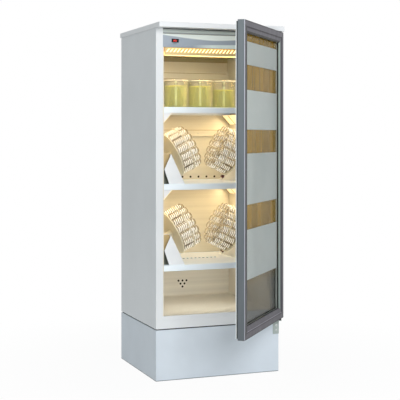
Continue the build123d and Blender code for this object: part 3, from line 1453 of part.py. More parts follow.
with BuildPart() as hinge_bushes:
    with Locations((HINGE_X, HINGE_Y, DOOR_FOOT - DOOR_BUSH_FLANGE / 2)):
        Cylinder(DOOR_BUSH_FLANGE_RADIUS, DOOR_BUSH_FLANGE)
    with Locations((HINGE_X, HINGE_Y, DOOR_FOOT + PIN_REACH / 2)):
        Cylinder(DOOR_BUSH_RADIUS, PIN_REACH)
    with Locations((HINGE_X, HINGE_Y, DOOR_TOP - DOOR_BUSH_FLANGE / 2)):
        Cylinder(DOOR_BUSH_FLANGE_RADIUS, DOOR_BUSH_FLANGE)
    with Locations((HINGE_X, HINGE_Y, DOOR_TOP - PIN_REACH / 2)):
        Cylinder(DOOR_BUSH_RADIUS, PIN_REACH)
    with Locations((HINGE_X, HINGE_Y, DOOR_MIDDLE)):
        Cylinder(PIN_RADIUS + PIN_CLEARANCE, DOOR_HEIGHT + 2 * BRACKET_DROP, mode=Mode.SUBTRACT)
hinge_bushes.part.label = "hinge_bushes"
export_step(hinge_bushes.part, "parts/hinge_bushes.step")

with BuildPart() as hinge_brackets:
    arm_top = DOOR_FOOT - BRACKET_DROP
    arm_foot = arm_top - BRACKET_SHEET
    bracket_foot = arm_top - BRACKET_TAIL
    nose = HINGE_Y - BRACKET_NOSE
    block((RIGHT - BRACKET_WIDTH, RIGHT), (FRONT - BRACKET_SHEET, FRONT), (bracket_foot, arm_top))
    block((RIGHT - BRACKET_WIDTH, RIGHT), (nose, FRONT), (arm_foot, arm_top))
    block((RIGHT - BRACKET_WIDTH, RIGHT), (nose, FRONT), (BODY_TOP - TOP_BRACKET_SHEET, BODY_TOP))
    fillet(hinge_brackets.edges().filter_by(Axis.Z).group_by(Axis.Y)[0], BRACKET_NOSE / 2)
    boss_height = BRACKET_DROP - DOOR_BUSH_FLANGE
    with Locations((HINGE_X, HINGE_Y, arm_top + boss_height / 2)):
        Cylinder(BOSS_RADIUS, boss_height)
    with BuildSketch(Plane.XY.offset(arm_top)):
        with Locations((HINGE_X, HINGE_Y)):
            Circle(PIN_RADIUS)
    extrude(amount=BRACKET_DROP + PIN_REACH)
    with BuildSketch(Plane.XY.offset(BODY_TOP - TOP_BRACKET_SHEET)):
        with Locations((HINGE_X, HINGE_Y)):
            Circle(PIN_RADIUS)
    extrude(amount=-(DOOR_TOP_GAP - TOP_BRACKET_SHEET + PIN_REACH))
    with BuildSketch(facing_front(FRONT - BRACKET_SHEET)):
        with Locations((RIGHT - SCREW_IN, bracket_foot + SCREW_LOW)):
            Circle(SCREW_RADIUS)
        with Locations((RIGHT - SCREW_IN, bracket_foot + SCREW_LOW + SCREW_PITCH)):
            Circle(SCREW_RADIUS)
    extrude(amount=SCREW_HEAD)
hinge_brackets.part.label = "hinge_brackets"
export_step(hinge_brackets.part, "parts/hinge_brackets.step")
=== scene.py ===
from math import atan, atan2, cos, pi, radians, sin

import bmesh
import bpy
from mathutils import Matrix, Vector


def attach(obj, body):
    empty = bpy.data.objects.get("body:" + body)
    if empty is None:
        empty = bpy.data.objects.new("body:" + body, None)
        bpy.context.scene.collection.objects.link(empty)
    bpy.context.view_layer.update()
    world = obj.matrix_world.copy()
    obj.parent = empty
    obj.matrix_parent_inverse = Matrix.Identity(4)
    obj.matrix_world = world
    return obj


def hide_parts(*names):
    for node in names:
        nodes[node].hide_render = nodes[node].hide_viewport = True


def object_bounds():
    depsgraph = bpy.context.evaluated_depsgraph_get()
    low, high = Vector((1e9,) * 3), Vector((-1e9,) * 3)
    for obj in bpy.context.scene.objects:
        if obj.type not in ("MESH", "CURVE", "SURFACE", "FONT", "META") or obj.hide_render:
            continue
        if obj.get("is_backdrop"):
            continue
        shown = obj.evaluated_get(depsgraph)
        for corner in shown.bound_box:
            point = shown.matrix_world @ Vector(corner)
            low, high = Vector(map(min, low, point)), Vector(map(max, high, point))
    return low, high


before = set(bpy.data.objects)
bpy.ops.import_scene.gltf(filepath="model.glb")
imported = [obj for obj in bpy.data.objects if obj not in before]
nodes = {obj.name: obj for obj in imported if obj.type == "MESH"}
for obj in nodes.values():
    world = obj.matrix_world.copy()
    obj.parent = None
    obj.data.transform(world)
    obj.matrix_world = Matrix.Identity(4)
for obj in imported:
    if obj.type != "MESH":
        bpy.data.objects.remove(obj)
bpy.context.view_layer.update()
scene = bpy.context.scene
scene.view_settings.view_transform = "Standard"

# Places on the cabinet, in metres

TILT = radians(26)
TURN = radians(49.3)
HINGE = Vector((0.292, -0.289, 0))
ACROSS = Vector((cos(TURN), sin(TURN), 0))
OUT = Vector((sin(TURN), -cos(TURN), 0))
PIVOT_ACROSS, PIVOT_OUT = 0.292, 0.024
DOOR_ORIGIN = HINGE - ACROSS * PIVOT_ACROSS - OUT * PIVOT_OUT
DOOR_FOOT, DOOR_TOP, DOOR_HALF = 0.252, 1.567, 0.300
SHELF_TOPS = {"lower": 0.511, "middle": 0.874, "upper": 1.219}
LAMP_TOPS = (0.848, 1.193)
CAVITY_HALF, CAVITY_TOP = 0.26, 1.488
MOUTH = -0.257
SHRINK = 0.020947
LEAN = atan(3 / 59)
PANEL_FACE, PANEL_BACK = 0.2130, 0.2145
REAR_FACE = nodes["rear_cladding"].bound_box[6][1]


def half_width(y):
    """Half the cavity's width, which the liner's draft narrows towards the back."""
    return CAVITY_HALF - (y - MOUTH) * SHRINK


def ceiling(y):
    """The ceiling's height, which the draft lowers in the same way."""
    return CAVITY_TOP - (y - MOUTH) * SHRINK


# Materials

GLASS_IOR = 1.5


class Sheet:
    """A node tree with short names for the nodes that the materials share."""

    def __init__(self, name):
        self.mat = bpy.data.materials.new(name)
        self.mat.use_nodes = True
        self.tree = self.mat.node_tree
        self.bsdf = self.tree.nodes["Principled BSDF"]
        places = self.add("ShaderNodeTexCoord").outputs
        self.coord = places["Object"]
        self.facing = places["Normal"]

    def feed(self, node, key, value):
        """Gives a node's input a link or a plain value."""
        if isinstance(value, bpy.types.NodeSocket):
            self.tree.links.new(value, node.inputs[key])
        else:
            node.inputs[key].default_value = value

    def put(self, value, key):
        """Gives the surface itself a link or a plain value."""
        self.feed(self.bsdf, key, value)

    def add(self, kind, inputs=None, **props):
        node = self.tree.nodes.new(kind)
        for key, value in props.items():
            setattr(node, key, value)
        for key, value in (inputs or {}).items():
            self.feed(node, key, value)
        return node

    def axis(self, index, source=None):
        return self.add("ShaderNodeSeparateXYZ", {"Vector": source or self.coord}).outputs[index]

    def along(self, source, direction):
        """How far a vector reaches in a direction."""
        inputs = {0: source, 1: tuple(direction)}
        return self.add("ShaderNodeVectorMath", inputs, operation="DOT_PRODUCT").outputs["Value"]

    def rim(self, blend):
        """Low face on and high towards the outline."""
        return self.add("ShaderNodeLayerWeight", {"Blend": blend}).outputs["Facing"]

    def math(self, kind, first, second=0.0):
        return self.add("ShaderNodeMath", {0: first, 1: second}, operation=kind).outputs[0]

    def over(self, value, limit):
        return self.math("GREATER_THAN", value, limit)

    def under(self, value, limit):
        return self.math("LESS_THAN", value, limit)

    def less(self, value, taken):
        return self.math("SUBTRACT", value, taken)

    def no(self, mask):
        return self.less(1.0, mask)

    def both(self, *masks):
        """One where all masks are one."""
        result = masks[0]
        for mask in masks[1:]:
            result = self.math("MULTIPLY", result, mask)
        return result

    def noise(self, scale, detail=3.0, stretch=None):
        source = self.coord
        if stretch:
            source = self.add("ShaderNodeMapping", {"Vector": source, "Scale": stretch}).outputs["Vector"]
        inputs = {"Vector": source, "Scale": scale, "Detail": detail}
        return self.add("ShaderNodeTexNoise", inputs).outputs["Fac"]

    def spread(self, value, low, high, start=0.3, end=0.7):
        keys = {"Value": value, "From Min": start, "From Max": end, "To Min": low, "To Max": high}
        return self.add("ShaderNodeMapRange", keys).outputs["Result"]

    def mix(self, factor, first, second, mode="MIX"):
        inputs = {0: factor, 6: first, 7: second}
        return self.add("ShaderNodeMix", inputs, data_type="RGBA", blend_type=mode).outputs[2]

    def patches(self, first, second, scale, detail=3.0, stretch=None):
        """Two colours in soft patches."""
        return self.mix(self.spread(self.noise(scale, detail, stretch), 0, 1), first, second)

    def uneven(self, low, high, scale, detail=3.0, stretch=None):
        """Gloss that varies between two values."""
        self.put(self.spread(self.noise(scale, detail, stretch), low, high), "Roughness")

    def tooth(self, scale, strength, depth, detail=3.0, stretch=None):
        """A fine texture in relief."""
        height = self.noise(scale, detail, stretch)
        rise = self.add("ShaderNodeBump", {"Height": height, "Strength": strength, "Distance": depth})
        self.put(rise.outputs["Normal"], "Normal")

    def glow(self, color, strength):
        self.put([*color, 1], "Emission Color")
        self.put(strength, "Emission Strength")


def surface(
    name,
    color,
    rough,
    metal=0.0,
    mottle=0.04,
    patch=6.0,
    grain=700.0,
    bump=0.03,
    depth=0.0004,
    stretch=None,
    coat=0.0,
    specular=0.5,
):
    """A painted, moulded or metal surface: slow colour patches, uneven gloss and a fine texture."""
    s = Sheet(name)
    dark = [c * (1 - mottle) for c in color] + [1]
    light = [min(1, c * (1 + mottle * 0.6)) for c in color] + [1]
    s.put(s.patches(dark, light, patch, 4.0, stretch), "Base Color")
    s.uneven(rough * 0.94, min(1, rough * 1.08), patch * 5, 5.0, stretch)
    s.tooth(grain, bump, depth, 2.0, stretch)
    s.put(metal, "Metallic")
    s.put(specular, "Specular IOR Level")
    if coat:
        s.put(coat, "Coat Weight")
        s.put(0.08, "Coat Roughness")
    return s.mat


def clear(name, color, face, edge, rough):
    """A clear piece: thin to look through face on, and denser towards its outline."""
    s = Sheet(name)
    s.put(s.spread(s.rim(0.45), face, edge, 0.0, 1.0), "Alpha")
    s.put(s.patches([c * 0.94 for c in color] + [1], [*color, 1], 30.0), "Base Color")
    s.uneven(rough * 0.8, rough * 1.3, 60.0)
    s.put(GLASS_IOR, "IOR")
    return s.mat


def lit(name, color, glow, strength):
    """A surface that gives off some light itself."""
    s = Sheet(name)
    s.put(s.patches([c * 0.95 for c in color] + [1], [*color, 1], 80.0), "Base Color")
    s.put(0.4, "Roughness")
    s.glow(glow, strength)
    return s.mat


paint = surface("cabinet_powder_coat", (0.80, 0.82, 0.84), 0.36, bump=0.10, mottle=0.025)
cap_paint = surface("cap_laminate", (0.83, 0.84, 0.86), 0.30, bump=0.05, mottle=0.02)
bracket_paint = surface("bracket_paint", (0.40, 0.45, 0.43), 0.4, bump=0.12, mottle=0.08)
zinc = surface("zinc_sheet", (0.60, 0.62, 0.64), 0.42, metal=0.85, mottle=0.14, patch=24.0, bump=0.04)
dark_deck = surface("deck_plastic", (0.035, 0.036, 0.04), 0.7, mottle=0.2, bump=0.3)
foam = surface("foam", (0.75, 0.66, 0.42), 0.85, mottle=0.12, patch=18, grain=300, bump=0.5, depth=0.001)
inside_white = surface("moulded_liner", (0.79, 0.74, 0.63), 0.30, bump=0.004, mottle=0.05, patch=3.0)
streaky = {"mottle": 0.09, "patch": 5.0, "stretch": (0.12, 1, 9)}
inside_paint = surface("inside_powder_coat", (0.80, 0.76, 0.66), 0.36, **streaky)
frame_paint = surface("drive_frame_powder_coat", (0.94, 0.95, 0.97), 0.4, bump=0.10, mottle=0.03, grain=420.0)
# The lamp canopy's paint is given an amber that is painted warm light from its lamps.
canopy_painted_warm_light = surface("canopy_painted_warm_light", (0.80, 0.60, 0.28), 0.42, bump=0.08, mottle=0.05)
carousel_plastic = surface("carousel_plastic", (0.80, 0.74, 0.58), 0.35, bump=0.05, mottle=0.05, coat=0.2)
black_gloss = surface("black_gloss", (0.012, 0.012, 0.014), 0.16, mottle=0.2, bump=0.02, coat=0.4)
black_matt = surface("black_matt", (0.02, 0.02, 0.022), 0.6, mottle=0.3, bump=0.25)
key_plastic = surface("key_plastic", (0.20, 0.22, 0.23), 0.5, mottle=0.1, bump=0.2)
knob_red = surface("knob_red", (0.10, 0.006, 0.010), 0.22, mottle=0.15, coat=0.5)
fins = surface("fin_aluminium", (0.72, 0.73, 0.74), 0.38, metal=0.9, mottle=0.08, bump=0.06)
motor_metal = surface("motor_zinc", (0.45, 0.46, 0.47), 0.45, metal=0.8, mottle=0.12, bump=0.2)
tray_grey = surface("tray_grey", (0.20, 0.21, 0.22), 0.6, mottle=0.1, bump=0.2)
spring_steel = surface("clip_steel", (0.66, 0.67, 0.68), 0.3, metal=0.9, mottle=0.08)
spacer_metal = surface("spacer_aluminium", (0.42, 0.47, 0.44), 0.4, metal=0.7, mottle=0.06)
screw_steel = surface("screw_steel", (0.72, 0.74, 0.75), 0.28, metal=0.9, mottle=0.06)
lip_brown = surface("vial_lip", (0.30, 0.20, 0.07), 0.35, mottle=0.15)
rod_dark = surface("rod_dark", (0.07, 0.045, 0.022), 0.35, mottle=0.2)
# Painted shade: a dark brown sheet on the ceiling under the canopy.
painted_shade_plate = surface("painted_shade_plate", (0.40, 0.34, 0.21), 0.5, mottle=0.12)
bead_shade = surface("bead_shade", (0.38, 0.29, 0.13), 0.45, mottle=0.08, bump=0.02)
seal_brown = surface("lamp_seal", (0.16, 0.10, 0.02), 0.5, mottle=0.15, bump=0.05)
# Near-black with almost no gloss: painted shade behind the duct panel's holes and in the screw slots, and the
# dark grommets and vent discs.
hole_dark = surface("hole_dark", (0.030, 0.024, 0.018), 0.7, mottle=0.2, bump=0.1, specular=0.02)
jar_glass = clear("jar_glass", (0.78, 0.70, 0.46), 0.04, 0.62, 0.03)
lid_clear = clear("jar_lid", (0.62, 0.52, 0.33), 0.30, 0.75, 0.08)
# Painted highlight: the white marks on the vials glow though they are no lamp.
painted_highlight_white = lit("painted_highlight_white", (0.98, 0.97, 0.94), (1.0, 0.97, 0.92), 0.34)
tube_light = lit("lamp_glass", (0.9, 0.8, 0.6), (1.0, 0.84, 0.52), 1.25)
corner_light = lit("lamp_cover", (0.9, 0.8, 0.6), (1.0, 0.76, 0.38), 0.75)
digits_red = lit("display_red", (0.5, 0.02, 0.01), (1.0, 0.03, 0.015), 2.2)
# Painted highlight: the culture's edge glows though it is no lamp.
meniscus_painted_glow = lit("culture_edge", (0.62, 0.58, 0.14), (0.80, 0.74, 0.14), 0.30)
# Painted highlight: a pale bead on each jar rim that glows as a glint.
rim_painted_glint = lit("jar_rim_painted_glint", (0.90, 0.86, 0.72), (1.0, 0.95, 0.80), 0.16)
# Painted light: the aerator tubes glow faintly so that they show through the culture.
tube_painted_glow = lit("aerator_tube", (0.90, 0.95, 0.78), (0.90, 1.0, 0.72), 0.20)


def fascia_finish():
    """A glossy grey front with soft light and dark bands that cross it, and nothing written on it."""
    crest_x, crest_z, crest_rise = -0.02, 1.5185, 0.16
    sweep_x, sweep_z, sweep_fall = -0.10, 1.5000, 0.030
    sweep_start, sweep_end = -0.125, -0.03
    s = Sheet("fascia_finish")
    x = s.axis(0)
    z = s.axis(2)
    share = s.spread(x, 0, 1, -CAVITY_HALF, CAVITY_HALF)
    grey = s.mix(share, (0.38, 0.43, 0.50, 1), (0.31, 0.36, 0.41, 1))
    bend = s.math("POWER", s.math("ABSOLUTE", s.math("ADD", x, -crest_x)), 1.5)
    crest = s.math("ADD", s.math("MULTIPLY", bend, crest_rise), crest_z)
    upper = s.spread(s.less(z, crest), 0, 1, 0.0, 0.004)
    body = s.mix(upper, grey, (0.80, 0.86, 0.82, 1))
    sweep = s.math("MULTIPLY", s.math("ADD", x, -sweep_x), -sweep_fall)
    lower = s.spread(s.less(s.less(sweep_z, z), sweep), 0, 1, 0.0, 0.003)
    reach = s.spread(x, 0, 1, sweep_start, sweep_end)
    s.put(s.mix(s.both(lower, reach), body, (0.76, 0.86, 0.83, 1)), "Base Color")
    s.uneven(0.14, 0.22, 25.0)
    s.put(0.3, "Coat Weight")
    s.tooth(600.0, 0.02, 0.0003)
    return s.mat


def door_finish():
    """Satin anodised metal with painted light and shade: bluish sides and a violet-grey face as lit and
    shaded copies, painted shade in the groove, on the free stile's face, along the outer edges, under the top
    rail, on upward faces and towards the foot, and painted highlights on the free stile's break, along the
    sill and on the stiles' inner steps.
    """
    groove, groove_half = 0.0285, 0.0032
    sill_line, sill_half = 0.0300, 0.0013
    step, top_step, seat = 0.0425, 0.0435, 0.0513
    glass_back = 0.0315
    rail_edge, stile_edge, bevel_edge = 0.0050, 0.0075, 0.004
    sill_reach, top_start = 0.06, 1.4
    s = Sheet("door_anodised")

    def near(value, middle, reach):
        return s.under(s.math("ABSOLUTE", s.less(value, middle)), reach)

    front = s.along(s.facing, OUT)
    sideways = s.along(s.facing, ACROSS)
    upward = s.along(s.facing, (0, 0, 1))
    height = s.axis(2)
    across = s.less(s.along(s.coord, ACROSS), DOOR_ORIGIN.dot(ACROSS))
    outward = s.less(s.along(s.coord, OUT), DOOR_ORIGIN.dot(OUT))
    side_gap = s.less(DOOR_HALF, s.math("ABSOLUTE", across))
    foot_gap = s.less(height, DOOR_FOOT)
    rail_gap = s.math("MINIMUM", s.less(DOOR_TOP, height), foot_gap)
    inward = s.math("MINIMUM", side_gap, rail_gap)
    upright = s.under(side_gap, rail_gap)
    level = s.no(upright)
    outer = s.over(front, 0.4)
    streak = s.spread(s.noise(90.0, 3.0, (1, 1, 0.06)), 0, 1)
    # Bluish sides and a violet-grey face: lit and shaded copies of one metal, painted light.
    edge = s.mix(streak, (0.178, 0.203, 0.219, 1), (0.200, 0.226, 0.242, 1))
    face = s.mix(streak, (0.114, 0.108, 0.126, 1), (0.138, 0.131, 0.150, 1))
    # Painted shade: the free stile's face is much darker.
    face = s.mix(s.both(upright, s.under(across, 0.0)), face, (0.052, 0.051, 0.056, 1))
    tone = s.mix(s.spread(front, 0, 1, 0.3, 0.7), edge, face)
    # Painted shade in the groove.
    tone = s.mix(s.both(outer, near(inward, groove, groove_half)), tone, (0.022, 0.019, 0.026, 1))
    # Painted highlight: a pale line along the bottom rail's sill.
    painted_sill_highlight = s.both(outer, near(inward, sill_line, sill_half), level, s.under(foot_gap, sill_reach))
    tone = s.mix(painted_sill_highlight, tone, (0.50, 0.47, 0.54, 1))
    # Painted reflection: pale green on the stiles' inner steps.
    tone = s.mix(s.both(s.over(inward, step), upright), tone, (0.36, 0.43, 0.39, 1))
    behind_glass = s.both(s.over(inward, seat), s.under(outward, glass_back))
    tone = s.mix(behind_glass, tone, (0.020, 0.020, 0.020, 1))
    # Painted shade under the top rail's inner step.
    painted_shade_under_top = s.both(s.over(height, top_start), s.over(inward, top_step), level)
    tone = s.mix(painted_shade_under_top, tone, (0.020, 0.018, 0.016, 1))
    # Painted shade along the rails' and the hinge stile's outer edges.
    rail_edge_shade = s.both(level, s.under(inward, rail_edge))
    hinge_stile_edge_shade = s.both(upright, s.over(across, 0.0), s.under(inward, stile_edge))
    tone = s.mix(s.both(outer, s.math("MAXIMUM", rail_edge_shade, hinge_stile_edge_shade)), tone, (0.030, 0.027, 0.033, 1))
    # Painted highlight on the free stile's bevelled break.
    free_side = s.over(s.math("MULTIPLY", sideways, -1.0), 0.35)
    bevel = s.both(outer, s.under(front, 0.92), free_side, s.under(inward, bevel_edge))
    tone = s.mix(bevel, tone, (0.62, 0.62, 0.70, 1))
    # Painted shade on faces that point up.
    tone = s.mix(s.over(upward, 0.4), tone, (0.035, 0.031, 0.040, 1))
    # Painted shade: the whole door darker towards its foot.
    painted_foot_shade = s.mix(s.spread(height, 0, 1, DOOR_FOOT, DOOR_TOP), (0.68, 0.68, 0.70, 1), (1, 1, 1, 1))
    s.put(s.mix(1.0, tone, painted_foot_shade, "MULTIPLY"), "Base Color")
    s.uneven(0.40, 0.52, 40.0, 4.0, (1, 1, 0.2))
    s.put(0.10, "Metallic")
    s.put(0.25, "Specular IOR Level")
    s.tooth(900.0, 0.02, 0.0003, 2.0, (1, 1, 0.1))
    return s.mat


def pane_finish():
    """Clear glass in two sheets; the inner one carries painted light: an amber glow of the lit interior,
    lighter towards the top and in streaks, that a slanting look sees more of, and painted shade below 0.45 m.
    """
    parting = 0.021
    dark_foot, amber_foot, amber_top = 0.45, 0.55, 1.45
    s = Sheet("pane_glass")
    height = s.axis(2)
    inner = s.under(s.along(s.coord, OUT), DOOR_ORIGIN.dot(OUT) + parting)
    slant = s.spread(s.rim(0.5), 0.10, 1.0, 0.20, 0.67)
    depth = s.math("MULTIPLY", slant, s.spread(height, 0.46, 0.66, dark_foot, amber_foot))
    outline = s.spread(s.rim(0.25), 0.03, 0.10, 0.0, 1.0)
    s.put(s.math("ADD", outline, s.math("MULTIPLY", inner, depth)), "Alpha")
    rise = s.spread(height, 0, 1, amber_foot, amber_top)
    # Painted light: amber standing in for the lit interior behind the glass, lighter in streaks.
    painted_interior_glow = s.mix(rise, (0.22, 0.135, 0.020, 1), (0.30, 0.175, 0.020, 1))
    painted_light_streaks = s.spread(s.noise(17.0, 1.0, (1, 1, 0.02)), 0, 0.6, 0.42, 0.72)
    painted_interior_glow = s.mix(painted_light_streaks, painted_interior_glow, (0.42, 0.26, 0.04, 1))
    # Painted shade: near-black below 0.45 m.
    above_dark = s.spread(height, 0, 1, dark_foot, amber_foot)
    s.put(s.mix(above_dark, (0.050, 0.050, 0.040, 1), painted_interior_glow), "Base Color")
    s.uneven(0.015, 0.03, 60.0)
    s.put(GLASS_IOR, "IOR")
    s.put(0.04, "Specular IOR Level")
    return s.mat


def vial_finish(name, middle, outline_shade, face, edge, glow):
    """Clear tube walls, pale in the middle and brown towards the outline as painted shade for the dark that
    glass shows at its sides, with a faint warm glow painted in as light.
    """
    s = Sheet(name)
    rim = s.rim(0.35)
    s.put(s.mix(s.spread(rim, 0, 1, 0.42, 0.80), middle, outline_shade), "Base Color")
    s.put(s.spread(rim, face, edge, 0.30, 0.85), "Alpha")
    s.uneven(0.05, 0.10, 90.0)
    s.put(GLASS_IOR, "IOR")
    s.glow((1.0, 0.82, 0.52), glow)
    return s.mat


def frosted_finish():
    """Etched film: even, pale and slightly cloudy, with a fine tooth."""
    s = Sheet("frosted_film")
    s.put(s.patches((0.59, 0.65, 0.65, 1), (0.65, 0.70, 0.695, 1), 5.0), "Base Color")
    s.put(0.94, "Alpha")
    s.uneven(0.55, 0.75, 300.0)
    s.tooth(2500.0, 0.12, 0.0002)
    return s.mat


def culture_finish():
    """Clouded yellow-green liquid, deeper towards the bottom, with a faint glow painted in as light."""
    liquid_foot, liquid_top = 1.223, 1.322
    s = Sheet("culture")
    share = s.spread(s.axis(2), 0, 1, liquid_foot, liquid_top)
    tone = s.mix(share, (0.42, 0.46, 0.06, 1), (0.60, 0.65, 0.14, 1))
    s.put(s.mix(s.spread(s.noise(22.0, 4.0), 0, 0.35), tone, (0.52, 0.50, 0.16, 1)), "Base Color")
    s.put(s.spread(s.rim(0.4), 0.42, 0.90, 0.0, 1.0), "Alpha")
    s.put(0.12, "Roughness")
    # Painted light: the liquid glows faintly though it is no lamp.
    s.glow((0.55, 0.58, 0.10), 0.14)
    return s.mat


def banded(name, steps, rough, stretch):
    """A painted sheet whose colour goes through steps of (height, soft edge, colour) from its foot upward."""
    s = Sheet(name)
    height = s.axis(2)
    tone = steps[0][2]
    for start, soft, color in steps[1:]:
        tone = s.mix(s.spread(height, 0, 1, start, start + soft), tone, color)
    cloud = s.spread(s.noise(9.0, 4.0, stretch), 0, 1)
    s.put(s.mix(cloud, tone, (0.94, 0.94, 0.94, 1), "MULTIPLY"), "Base Color")
    s.uneven(rough * 0.94, rough * 1.08, 40.0, 5.0)
    s.tooth(700.0, 0.08, 0.0004, 2.0)
    return s.mat


def gasket_finish():
    """White rubber on a dark root against the door."""
    root_start = 0.0040
    s = Sheet("gasket_rubber")
    root = s.over(s.along(s.coord, OUT), DOOR_ORIGIN.dot(OUT) + root_start)
    white = s.patches((0.84, 0.87, 0.88, 1), (0.90, 0.93, 0.94, 1), 20.0)
    s.put(s.mix(root, white, (0.055, 0.060, 0.060, 1)), "Base Color")
    s.uneven(0.50, 0.60, 60.0)
    return s.mat


def shelf_finish():
    """Bluish white powder coat with painted light: the shelves' undersides in a warm brown as painted shade,
    and a faint bluish glow on the other faces.
    """
    s = Sheet("shelf_powder_coat")
    painted_shade_below = s.under(s.axis(2, s.facing), -0.5)
    white = s.patches((0.89, 0.94, 0.99, 1), (0.92, 0.97, 1.0, 1), 6.0, 4.0)
    s.put(s.mix(painted_shade_below, white, (0.30, 0.19, 0.07, 1)), "Base Color")
    s.uneven(0.32, 0.37, 30.0, 5.0)
    # Painted light: a faint bluish glow on all but the undersides.
    s.glow((0.55, 0.80, 1.0), s.math("MULTIPLY", s.no(painted_shade_below), 0.12))
    return s.mat


def housing_finish():
    """The drive frames' powder coat; on the fronts of the housings behind their cheeks, painted warm light
    above and painted shade below.
    """
    housing_front, housing_back = -0.240, -0.200
    knee, knee_end = 0.060, 0.072
    s = Sheet("drive_housing_powder_coat")
    depth = s.axis(1)
    height = s.axis(2)
    front = s.under(s.axis(1, s.facing), -0.5)
    behind = s.both(s.over(depth, housing_front), s.under(depth, housing_back))
    upper = s.over(height, SHELF_TOPS["middle"])
    lift = s.math("MULTIPLY", upper, SHELF_TOPS["middle"] - SHELF_TOPS["lower"])
    rise = s.less(height, s.math("ADD", lift, SHELF_TOPS["lower"]))
    # Painted light and shade: a warm tone above the knee, a dark one below it.
    painted_light_and_shade = s.mix(s.spread(rise, 0, 1, knee, knee_end), (0.13, 0.14, 0.11, 1), (0.62, 0.46, 0.22, 1))
    white = s.patches((0.90, 0.92, 0.94, 1), (0.96, 0.97, 0.99, 1), 18.0, 4.0)
    s.put(s.mix(s.both(front, behind), white, painted_light_and_shade), "Base Color")
    s.uneven(0.38, 0.43, 30.0, 5.0)
    s.tooth(420.0, 0.10, 0.0004, 2.0)
    return s.mat


fascia_print = fascia_finish()
shelf_paint = shelf_finish()
housing_paint = housing_finish()
# The plinth's paint with a thin dark line at its foot, painted shade where it meets the floor.
plinth_steps = [(0, 0, (0.22, 0.25, 0.27, 1)), (0.0025, 0.0015, (0.72, 0.785, 0.86, 1))]
plinth_paint = banded("plinth_powder_coat", plinth_steps, 0.38, (1, 1, 1))
# The header trim: grey-green, darker below 1.551 m; from 1.560 m it darkens as painted shade under the cap,
# with a near-black painted shadow line from 1.5652 m where it meets the cap.
trim_steps = [
    (0, 0, (0.30, 0.33, 0.32, 1)),
    (1.5510, 0.0010, (0.50, 0.56, 0.53, 1)),
    (1.5600, 0.0012, (0.36, 0.40, 0.39, 1)),
    (1.5652, 0.0008, (0.10, 0.11, 0.11, 1)),
]
trim_finish = banded("trim_grey", trim_steps, 0.30, (0.2, 1, 3))
gasket_rubber = gasket_finish()
door_metal = door_finish()
pane_glass = pane_finish()
# Painted light: the tube walls and, more, the media glow faintly though they are no lamps.
vial_glass = vial_finish("vial_glass", (0.95, 0.90, 0.74, 1), (0.24, 0.15, 0.03, 1), 0.06, 0.95, 0.04)
vial_fill = vial_finish("vial_medium", (0.86, 0.68, 0.38, 1), (0.60, 0.43, 0.17, 1), 0.20, 0.46, 0.10)
frosted = frosted_finish()
culture = culture_finish()

FINISHES = {
    "base_pan": zinc,
    "plinth_shell": plinth_paint,
    "rear_grille": zinc,
    "deck_plate": dark_deck,
    "side_panels": paint,
    "rear_cladding": zinc,
    "front_sill": paint,
    "insulation": foam,
    "inner_liner": inside_white,
    "top_cap": cap_paint,
    "header_trim": trim_finish,
    "control_fascia": fascia_print,
    "controller": black_gloss,
    "key_down": key_plastic,
    "key_up": key_plastic,
    "switch_lights": black_gloss,
    "switch_drives": black_gloss,
    "switch_power": black_gloss,
    "lamp_canopy": canopy_painted_warm_light,
    "lamp_tubes": tube_light,
    "lamp_diffusers": corner_light,
    "corner_lamps": frame_paint,
    "duct_panel": inside_paint,
    "back_rail": inside_paint,
    "shelf_upper": shelf_paint,
    "shelf_middle": shelf_paint,
    "shelf_lower": shelf_paint,
    "shelf_clips": spring_steel,
    "evaporator": fins,
    "circulation_fan_frame": black_matt,
    "circulation_fan": black_matt,
    "compressor": black_matt,
    "condenser": black_matt,
    "condenser_shroud": zinc,
    "condenser_fan": fins,
    "drip_tray": tray_grey,
    "power_inlet": black_matt,
    "door_frame": door_metal,
    "door_panes": pane_glass,
    "pane_spacer": spacer_metal,
    "frosted_bands": frosted,
    "door_gasket": gasket_rubber,
    "hinge_brackets": bracket_paint,
    "hinge_bushes": black_matt,
    "carousel_frames": housing_paint,
    "gearmotors": motor_metal,
    "jars": jar_glass,
    "jar_liquid": culture,
    "jar_lids": lid_clear,
    "speed_knob_lower": knob_red,
    "speed_knob_upper": knob_red,
}
for place in ("lower_left", "lower_right", "upper_left", "upper_right"):
    FINISHES[f"carousel_{place}"] = carousel_plastic
    FINISHES[f"vials_{place}"] = vial_glass

# Soft edges that catch the light, in millimetres

SOFT_EDGES = {
    "top_cap": 1.2,
    "plinth_shell": 0.6,
    "side_panels": 0.5,
    "front_sill": 0.6,
    "header_trim": 0.5,
    "control_fascia": 0.4,
    "shelf_upper": 0.7,
    "shelf_middle": 0.7,
    "shelf_lower": 0.7,
    "carousel_frames": 0.4,
    "corner_lamps": 0.3,
    "back_rail": 1.0,
    "duct_panel": 0.3,
    "door_frame": 0.35,
    "hinge_brackets": 0.5,
}

for name, node in nodes.items():
    node.data.materials.clear()
    node.data.materials.append(FINISHES[name])
for name, width in SOFT_EDGES.items():
    weld = nodes[name].modifiers.new("weld", "WELD")
    weld.merge_threshold = 0.00001
    bevel = nodes[name].modifiers.new("soft_edges", "BEVEL")
    bevel.width = width / 1000
    bevel.segments = 2
    bevel.limit_method = "ANGLE"
    bevel.angle_limit = radians(35)
    bevel.harden_normals = False

# Mesh helpers. A form is a list of vertices and a list of faces

BOX_FACES = [(0, 1, 3, 2), (4, 6, 7, 5), (0, 4, 5, 1), (2, 3, 7, 6), (0, 2, 6, 4), (1, 5, 7, 3)]
STILL = Matrix.Identity(4)
SHARP_ANGLE = radians(38)
SMALL_STEPS = 20


